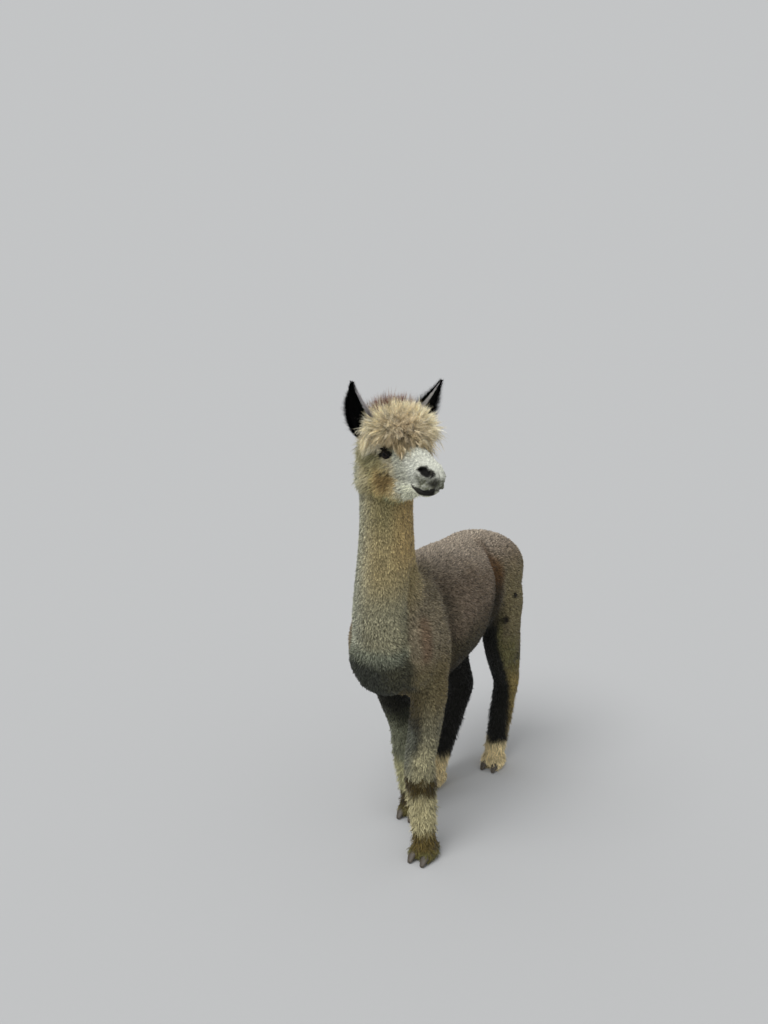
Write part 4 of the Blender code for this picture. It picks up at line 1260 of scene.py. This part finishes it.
for name, chosen in (("fleece_trunk_left", is_trunk & is_left & is_high),
                     ("fleece_trunk_right", is_trunk & ~is_left & is_high),
                     ("fleece_thighs_and_belly", is_trunk & ~is_high)):
    shorn_fleece(name, chosen, unwrap=trunk_unwrap, slot="body_fleece", **FLEECE)
shorn_fleece("fleece_neck", is_neck, unwrap=neck_unwrap, slot="neck_fleece", **NECK_FLEECE)

# ================================================================ lower legs and tail
# Unshorn hair from below the knee and hock to the toes, twenty to thirty millimetres long and
# fluffy, hanging over the feet; and the woolly tail.


def leg_unwrap(t):
    """Each leg has a quarter of the width."""
    nearest, offset = nearest_leg(t)
    spot = round_middle(offset[:, 0], offset[:, 1], t[:, 2], 0.0, 0.30)
    spot[:, 0] = (spot[:, 0] + nearest) / 4
    return spot


def tail_unwrap(t):
    """Round the tail and up it."""
    return round_middle(t[:, 0], t[:, 1] - 0.455, t[:, 2], 0.58, 0.84)


LONG_TAPER = (1.0, 0.9, 0.75, 0.5, 0.0)  # of a long hair's width, from root to tip


def fluffy_hair(name, chosen, density, length, unwrap, slot, seed):
    """Hanging waved hair, shorter towards the knee and at the toes."""
    root, normal, _ = scattered_roots(chosen, density)
    t, one = root - MOVE, np.ones(len(root))
    lie = combed(np.tile([0.0, 0.06, -1.0], (len(t), 1)), normal, root, 0.42, seed)
    foot = ease(0.0, 0.075, t[:, 2])
    size = length * (0.58 + 0.42 * foot) * (0.50 + 0.50 * ease(0.32, 0.21, t[:, 2]))
    tufts(name, root, normal, lie, (size * (1 + 0.2 * mottle(root, 0.012, seed)), 0.20 * size),
          (0.62 + 0.25 * mottle(root, 0.014, seed + 2), 0.20, 0.15, 1.2), (0.0026 * one, 0.00052),
          (1 + 0.30 * mottle(root, 0.009, seed + 3), 0.26, 0.4, 1.8), body_markings(root), unwrap(t), slot,
          LONG_TAPER, bend=0.25, roll=0.5, dark_root=0.5, least=0.005, flat=0.50 + 0.50 * foot,
          fall=0.16, wave=(0.0026, 1.2))


fluffy_hair("hair_forelegs", is_low_leg & (table_middle[:, 1] < 0), 122000, 0.026, leg_unwrap, "leg", 31)
fluffy_hair("hair_hindlegs", is_low_leg & (table_middle[:, 1] >= 0), 116000, 0.024, leg_unwrap, "leg", 33)
fluffy_hair("hair_tail", skin_part == TAIL_PART, 110000, 0.034, tail_unwrap, "body_fleece", 35)

# ================================================================ hair of the face
# Short fine hair, finest on the muzzle, that lies from the nose back over the cheeks and grows
# longer and woolly on jaw and poll. The lips, the nostrils' rims and the lids stay nearly bare.

is_head = skin_part == HEAD_PART
in_knot = is_head & (np.linalg.norm((head_middle - KNOT_CENTRE) / (KNOT_CORE + 0.004), axis=1) < 1.03)
is_face = is_head & ~in_knot


def head_unwrap(h):
    """A sphere's unwrap round the head: the angle round its length, and the place along it."""
    return round_middle(h[:, 1], h[:, 2] + 0.03, h[:, 0], -0.11, 0.18)


FACE_DENSITY = 500000  # hairs to a square metre
# the bare ones: nearer the lips' parting than this in metres, or inside these rings
BARE_LIP, BARE_NOSTRIL, BARE_LOWER_LIP, BARE_LID = 0.0042, 1.12, 1.02, 1.22

root, normal, _ = scattered_roots(is_face, FACE_DENSITY)
h = in_head(root)
half = outwards(h, 1)
lip_gap, _ = distance_to_line(half, LIPS)
lid_ring = lid_place(half, 1)[3]
keep = (lip_gap > BARE_LIP) & (nostril_ring(half) > BARE_NOSTRIL)
keep &= (lower_lip_ring(half) > BARE_LOWER_LIP) & (lid_ring > BARE_LID)
root, normal, h, lid_ring = root[keep], normal[keep], h[keep], lid_ring[keep]
lie = combed(np.tile([-1.0, 0.0, -0.45], (len(h), 1)) @ HEAD_AXES, normal, root, 0.22, 41)
woolly = np.maximum(ease(0.050, -0.030, h[:, 0]), 0.9 * ease(-0.066, -0.090, h[:, 2]) * ease(0.120, 0.090, h[:, 0]))
size = (0.0050 + 0.0050 * ease(0.15, 0.06, h[:, 0]) + 0.0060 * woolly) * (0.55 + 0.45 * ease(1.2, 2.2, lid_ring))
flow = unit(np.array([-0.90, 0.0, -0.44]))
streaks = 0.36 * mottle(h - 0.84 * (h @ flow)[:, None] * flow, 0.0060, 43) + 0.12 * mottle(h, 0.016, 44)
tufts("hair_face", root, normal, lie, (size, 0.25 * size), (0.34 + 0.22 * woolly, 0.12, 0.1, 1.0),
      (0.0015 + 0.0010 * woolly, None), (1 + streaks, 0.26, 0.4, 1.6), head_markings(h), head_unwrap(h), "face",
      taper=(1.0, 0.75, 0.0), bend=0.16, roll=0.35, dark_root=0.72)

# ================================================================ hair of the ears
# Short black down over both sides of each ear, a fringe along its edges, and pale hair that
# lines the hollow side.

ear_finish = Finish("black down", {"Roughness": 0.95, "Specular IOR Level": 0.04})
ear_material = ear_finish.finish(ear_finish.attribute("markings").outputs["Color"])
DOWN, FRINGE = 0.0090, 0.0210  # hair lengths
DOWN_WIDTH, FRINGE_WIDTH = 0.0023, 0.0014
for name in EARS:
    grown = []
    for place_on, count, length, width in (("outer side", 5200, DOWN, DOWN_WIDTH), ("hollow", 3800, DOWN, DOWN_WIDTH),
                                           ("edges", 3000, FRINGE, FRINGE_WIDTH)):
        inside, edges = float(place_on == "hollow"), place_on == "edges"
        t = rng.random(count) ** 0.85 * 0.97
        a = np.sign(rng.random(count) - 0.5) * 0.98 if edges else rng.uniform(-1, 1, count)
        place, along, front = ear_place(name, t, a, inside)
        beside = ear_place(name, t, a + 0.02, inside)[0] - place
        across = unit(np.cross(along, front))
        out = unit(np.cross(along, beside))
        out *= np.sign((out * front).sum(1))[:, None] * (1 if inside else -1)
        lie = unit(along + across * 0.16 * rng.normal(size=(count, 1)) + 0.1 * rng.normal(size=(count, 3)))
        if edges:
            out = unit(across * np.sign(a * (across * beside).sum(1))[:, None])
            lie = unit(lie + out * rng.uniform(0.1, 0.9, (count, 1)) * (1 - 0.95 * ease(0.6, 0.9, t))[:, None])
        size = length * (1 + 0.22 * rng.normal(size=count)) * (1 - 0.55 * t**3)
        lift = np.clip(0.32 + 0.14 * rng.normal(size=count), 0.08, 1.0)
        colours = ear_markings(name, t, a, inside) * (1 + 0.15 * rng.normal(size=(count, 1)))
        grown.append((from_head(lying(place, out, lie, size, lift, 0.12, 3)), unit(np.cross(lie, out)) @ HEAD_AXES,
                      np.tile(width * np.array([1.0, 0.75, 0.0]), (count, 1)), colours,
                      np.column_stack([0.25 + 0.22 * a + 0.5 * inside, t])))
    coat_piece(f"hair_ear_{name}", *map(np.concatenate, zip(*grown)), "ear", ear_material)

# ================================================================ woolly cheeks and nape
# Longer, waved hair behind the eyes, over temple, cheek and jaw and down the top of the neck,
# which rounds the head off. It hangs back and down in fine overlapping tufts.

CHEEK_DENSITY = 240000  # roots to a square metre, before they thin out forwards

root, normal, face = scattered_roots(is_face | (is_neck & (table_middle[:, 2] > 1.15)), CHEEK_DENSITY)
h = in_head(root)
woolly = np.maximum(ease(0.045, -0.010, h[:, 0]), 0.6 * ease(-0.070, -0.092, h[:, 2]) * ease(0.110, 0.080, h[:, 0]))
woolly *= ease(-0.135, -0.095, h[:, 2])
kept = (rng.random(len(h)) < 0.15 + 0.85 * woolly) & (woolly > 0.02)
root, normal, h, woolly, face = root[kept], normal[kept], h[kept], woolly[kept], face[kept]
lie = combed(np.tile([-0.75, 0.0, -0.65], (len(h), 1)) @ HEAD_AXES, normal, root, 0.34, 51)
size = 0.008 + 0.018 * woolly + 0.010 * ease(-0.035, 0.010, h[:, 2]) * ease(0.0, -0.03, h[:, 0])
size *= ease(0.016, 0.036, np.hypot(h[:, 0] - EYE_PLACE[0], h[:, 2] - EYE_PLACE[2]))
wool_colours = np.where((skin_part[face] == HEAD_PART)[:, None], head_markings(h), body_markings(root))
tufts("wool_cheeks", root, normal, lie, (size, 0.22 * size), (0.52 + 0.28 * mottle(root, 0.012, 52), 0.20, 0.12, 1.2),
      (np.full(len(h), 0.0019), 0.00038), (1.08 + 0.34 * mottle(root, 0.009, 53), 0.26, 0.4, 1.8), wool_colours,
      head_unwrap(h), "face", LONG_TAPER, bend=0.22, roll=0.5, dark_root=0.45, least=0.003, fall=0.10,
      wave=(0.0014, 1.3))

# ================================================================ topknot
# A round mop of long cream wool over brow and crown. The wool parts from a whorl on the brow and
# stands out all round it in fine wavy wisps of many strands: short curls at the whorl, a fringe
# that ends above the eyes, and long brown hairs at the back of the crown.

WHORL = np.array([0.066, -0.040, 0.082])  # in the head's own axes
WISP_DENSITY, STRANDS, STEPS = 63000, 13, 7  # wisps to a square metre, strands to a wisp, steps to a strand
WISP_LENGTH, STRAND_WIDTH, CROWN_HAIR = 0.031, 0.0014, 0.049
FAR_WAY = np.array([0.573, 0.819, 0.0])  # forwards and to the left
UNDER = np.array([0.0, 0.0, -1.0])
# the lowest that wool may hang, by the angle round the head from the nose, in degrees
FRINGE_TURN = (0, 12, 20, 28, 36, 48, 98, 118)
FRINGE_LEVEL = (0.032, 0.030, 0.002, -0.010, 0.000, 0.034, 0.034, -0.034)


def fringe_level(h):
    """How low wool may hang: to the bridge of the nose, lower on both sides of it, clear of the
    eyes, and down over the temples behind them."""
    turn = np.degrees(np.arctan2(np.abs(h[..., 1]), h[..., 0]))
    return np.interp(turn, FRINGE_TURN, FRINGE_LEVEL)


root, normal, _ = scattered_roots(in_knot, WISP_DENSITY)
h, out = in_head(root), normal @ HEAD_AXES.T
wisps = len(root)
from_whorl = h - WHORL
away = unit(from_whorl - (from_whorl * out).sum(1)[:, None] * out)
# how much each wisp belongs to a place, from 0 to 1
near = np.exp(-((np.linalg.norm(from_whorl, axis=1) / 0.042) ** 2))
low = ease(0.45, -0.35, out[:, 2])
brow = ease(0.1, 0.7, out[:, 0]) * ease(0.8, 0.2, out[:, 2])
top = ease(0.3, 0.8, out[:, 2])
behind_eye = ease(0.010, -0.030, h[:, 0]) * ease(0.2, 0.7, np.abs(out[:, 1])) * ease(0.5, 0.1, out[:, 2])
far_side = ease(0.35, 0.85, out @ FAR_WAY) * ease(0.75, 0.25, out[:, 2])
hang = 0.02 + 0.44 * low + 0.25 * brow + 0.45 * behind_eye + 0.22 * far_side
wisp_way = unit(out * (0.72 + 0.30 * near)[:, None] + away * (0.60 * (1 - near))[:, None] + UNDER * hang[:, None]
                + 0.34 * rng.normal(size=(wisps, 3)))
wisp_length = WISP_LENGTH * (1 - 0.42 * near + 0.25 * brow + 0.10 * top + 0.34 * far_side)
wisp_length = (wisp_length * (1 + 0.13 * rng.normal(size=wisps)))[:, None, None]
across = unit(np.cross(wisp_way, unit(rng.normal(size=(wisps, 3)))))
upright = np.cross(wisp_way, across)
t = np.linspace(0, 1, STEPS)
phase = rng.uniform(0, 2 * np.pi, (wisps, 1, 1)) + rng.normal(size=(wisps, STRANDS, 1)) * 0.7
turns = 2 * np.pi * rng.uniform(0.9, 2.0, (wisps, 1, 1)) * t + phase
wave_size = (0.0026 + 0.0030 * near)[:, None, None] * rng.uniform(0.4, 1.5, (wisps, 1, 1)) * t
place_in_wisp = rng.uniform(0, 2 * np.pi, (wisps, STRANDS, 1))
spread = 0.0064 * np.sqrt(rng.random((wisps, STRANDS, 1))) * (1 - 0.30 * t)
curl = rng.uniform(-0.012, 0.012, (wisps, 1, 1)) * t**2
off_a = spread * np.cos(place_in_wisp) + wave_size * np.sin(turns) + curl
off_b = spread * np.sin(place_in_wisp) + wave_size * np.cos(turns) + curl[::-1]  # another wisp's curl
reach = wisp_length * t * (1 + 0.20 * rng.normal(size=(wisps, STRANDS, 1)))
droop = (0.04 + 0.22 * low + 0.34 * brow + 0.55 * behind_eye)[:, None, None] * wisp_length * t**2
grown = (
    wisp_way[:, None, None] * reach[..., None] + across[:, None, None] * off_a[..., None]
    + upright[:, None, None] * off_b[..., None] + UNDER * droop[..., None]
)
start = h[:, None, None] - out[:, None, None] * 0.002
tip = (start + grown)[:, :, -1]
level = fringe_level(tip) + 0.004 * rng.normal(size=(wisps, 1))
allowed = (h[:, None, 2] - level) / np.maximum(h[:, None, 2] - tip[..., 2], 1e-4)
shorter = np.where(tip[..., 2] < level, np.clip(allowed, 0.28, 1), 1)
spine = (start + grown * shorter[..., None, None]).reshape(-1, STEPS, 3)
strand_side = unit(np.cross(np.repeat(wisp_way, STRANDS, 0), rng.normal(size=(wisps * STRANDS, 3))))
strand_width = STRAND_WIDTH * (1 + 0.2 * rng.normal(size=(len(spine), 1))) * (1 - t**2 * 0.75)
wool = painted(
    plain((244, 231, 192), wisps),
    ((254, 249, 228), rng.random(wisps) * 0.8),
    ((252, 246, 220), 0.7 * ease(0.02, 0.05, h[:, 1])),
    ((190, 162, 114), 0.45 * ease(0.2, 0.9, mottle(h, 0.020, 61))),
    ((200, 168, 120), 0.60 * near),
    ((172, 150, 106), 0.75 * (brow * low) ** 0.5),
    # painted shade: wool that hangs low behind the eye is darkened olive
    ((136, 134, 94), 0.9 * ease(0.3, 0.9, behind_eye) * ease(0.052, 0.018, h[:, 2])),
    ((190, 160, 130), 0.30 * ease(-0.02, -0.06, h[:, 0]) * ease(0.3, 0.7, out[:, 2])),
) * (1 + 0.16 * rng.normal(size=(wisps, 1)))
strand_colour = np.repeat(wool, STRANDS, 0) * (1 + 0.14 * rng.normal(size=(len(spine), 1)))
knot_spot = np.repeat(round_middle(h[:, 1], h[:, 0], h[:, 2], 0.0, 0.11), STRANDS, 0)
in_front = np.repeat(h[:, 0] > np.median(h[:, 0]), STRANDS)
for name, mine in (("topknot_wool_front", in_front), ("topknot_wool_back", ~in_front)):
    coat_piece(name, from_head(spine[mine]), strand_side[mine] @ HEAD_AXES, strand_width[mine], strand_colour[mine],
               knot_spot[mine], "wool", dark_root=0.48)

behind = np.repeat(np.flatnonzero((h[:, 0] < -0.025) & (out[:, 2] > 0.35) & (np.abs(h[:, 1]) < 0.055)), 3)
way = unit(out[behind] * 0.6 + np.array([-0.10, 0.0, 0.62]) + 0.32 * rng.normal(size=(len(behind), 3)))
size = CROWN_HAIR * (1 + 0.2 * rng.normal(size=len(behind)))
spine = lying(h[behind], out[behind], way, size, np.full(len(behind), 0.05), 0.06, 5)
side = unit(np.cross(way, rng.normal(size=way.shape)))
colours = shade(138, 104, 88) * (1 + 0.25 * rng.normal(size=(len(behind), 1)))
coat_piece("crown_hairs", from_head(spine), side @ HEAD_AXES,
           np.tile(0.0009 * np.array([1.0, 0.9, 0.8, 0.6, 0.0]), (len(behind), 1)), colours,
           round_middle(h[behind, 1], h[behind, 0], h[behind, 2], 0.0, 0.11), "wool", dark_root=0.7)

# ================================================================ eyelashes
# A row of stiff dark lashes on each upper lid, longest in the middle. Each is a thin leaf that
# stands out from the lid's edge and droops.

LASHES, LASH_LENGTH, LASH_WIDTH = 90, 0.0125, 0.00075
LASH_RING = 1.08  # of the lids' edge

lash_finish = Finish("lash", {"Base Color": (0.010, 0.009, 0.008, 1), "Roughness": 0.5}).material
for name, side in SIDES.items():
    along, up, out = eye_axes(side)
    s = rng.uniform(-0.92, 0.92, LASHES)
    a = LID_HALF_LENGTH * s * LASH_RING - LID_BACK
    b = LID_ABOVE * np.sqrt(1 - s**2) * LASH_RING
    c = np.sqrt(np.maximum((EYE_RADIUS + 0.0018) ** 2 - a**2 - b**2, 0))
    base = ball_middle(side) + a[:, None] * along + b[:, None] * up + c[:, None] * out
    way = unit(out + up * 0.25 + along * (0.55 * s[:, None]) + 0.10 * rng.normal(size=(LASHES, 3)))
    size = LASH_LENGTH * (1 - 0.45 * s**2) * (1 + 0.15 * rng.normal(size=LASHES))
    spine = lying(base, np.tile(up, (LASHES, 1)), way, size, np.zeros(LASHES), 0.55, 5)
    spots = np.column_stack([s * 0.45 + 0.5, rng.random(LASHES)])
    coat_piece(f"lashes_{name}", from_head(spine), unit(np.cross(way, up)) @ HEAD_AXES,
               np.tile(LASH_WIDTH * np.array(LONG_TAPER), (LASHES, 1)), np.full((LASHES, 3), 0.01), spots, "face",
               lash_finish)

# ================================================================ floor, light and camera
# A plain pale floor without a visible end, an even light all round with a broad soft key lamp from
# above, and a camera at a standing person's eye height in front of the left shoulder.

AMBIENT, KEY = 0.56, 0.60  # light on a surface from all round, and more where it faces the key lamp
AMBIENT_TINT = np.array([0.975, 0.99, 1.0])
KEY_HEIGHT, KEY_TURN, KEY_SPREAD = np.radians((58, -8, 38))  # over the floor, about up, across the lamp
FLOOR_REACH = 400.0
CAMERA_PLACE = np.array([1.0498, -2.2102, 1.5])  # from the tables' origin
CAMERA_DOWN, CAMERA_TURN = np.radians((11.167, 30))
LENS, SENSOR = 27.07, 36  # millimetres

floor_finish = Finish("pale floor", {"Roughness": 1.0, "Specular IOR Level": 0.0})
# the share of light the floor gives back, so that far off it is as bright as the air above it
floor_tint = AMBIENT * AMBIENT_TINT / (AMBIENT * AMBIENT_TINT + KEY * np.sin(KEY_HEIGHT))
floor_material = floor_finish.finish((*map(float, floor_tint), 1))
wide_floor = np.array([(-1, -1, 0), (1, -1, 0), (1, 1, 0), (-1, 1, 0)], float) * FLOOR_REACH
floor_mesh = new_mesh("floor", wide_floor, [[0, 1, 2, 3]])
floor_mesh.materials.append(floor_material)
floor = new_piece("floor", floor_mesh)

key_light = bpy.data.lights.new("key lamp", "SUN")
key_light.energy, key_light.angle = KEY * np.pi, KEY_SPREAD
key_lamp = bpy.data.objects.new("key lamp", key_light)
key_lamp.rotation_euler = (np.pi / 2 - KEY_HEIGHT, 0, KEY_TURN)
bpy.context.scene.collection.objects.link(key_lamp)
world = bpy.data.worlds.new("studio")
world.use_nodes = True
background = world.node_tree.nodes["Background"]
background.inputs["Color"].default_value = (*map(float, AMBIENT_TINT), 1)
background.inputs["Strength"].default_value = AMBIENT
bpy.context.scene.world = world
bpy.context.scene.view_settings.view_transform = "Standard"

camera = bpy.data.cameras.new("camera")
camera.lens, camera.sensor_width, camera.clip_end = LENS, SENSOR, 2 * FLOOR_REACH
viewer = bpy.data.objects.new("camera", camera)
viewer.location = MOVE + CAMERA_PLACE
viewer.rotation_euler = (np.pi / 2 - CAMERA_DOWN, 0, CAMERA_TURN)
bpy.context.scene.collection.objects.link(viewer)
bpy.context.scene.camera = viewer
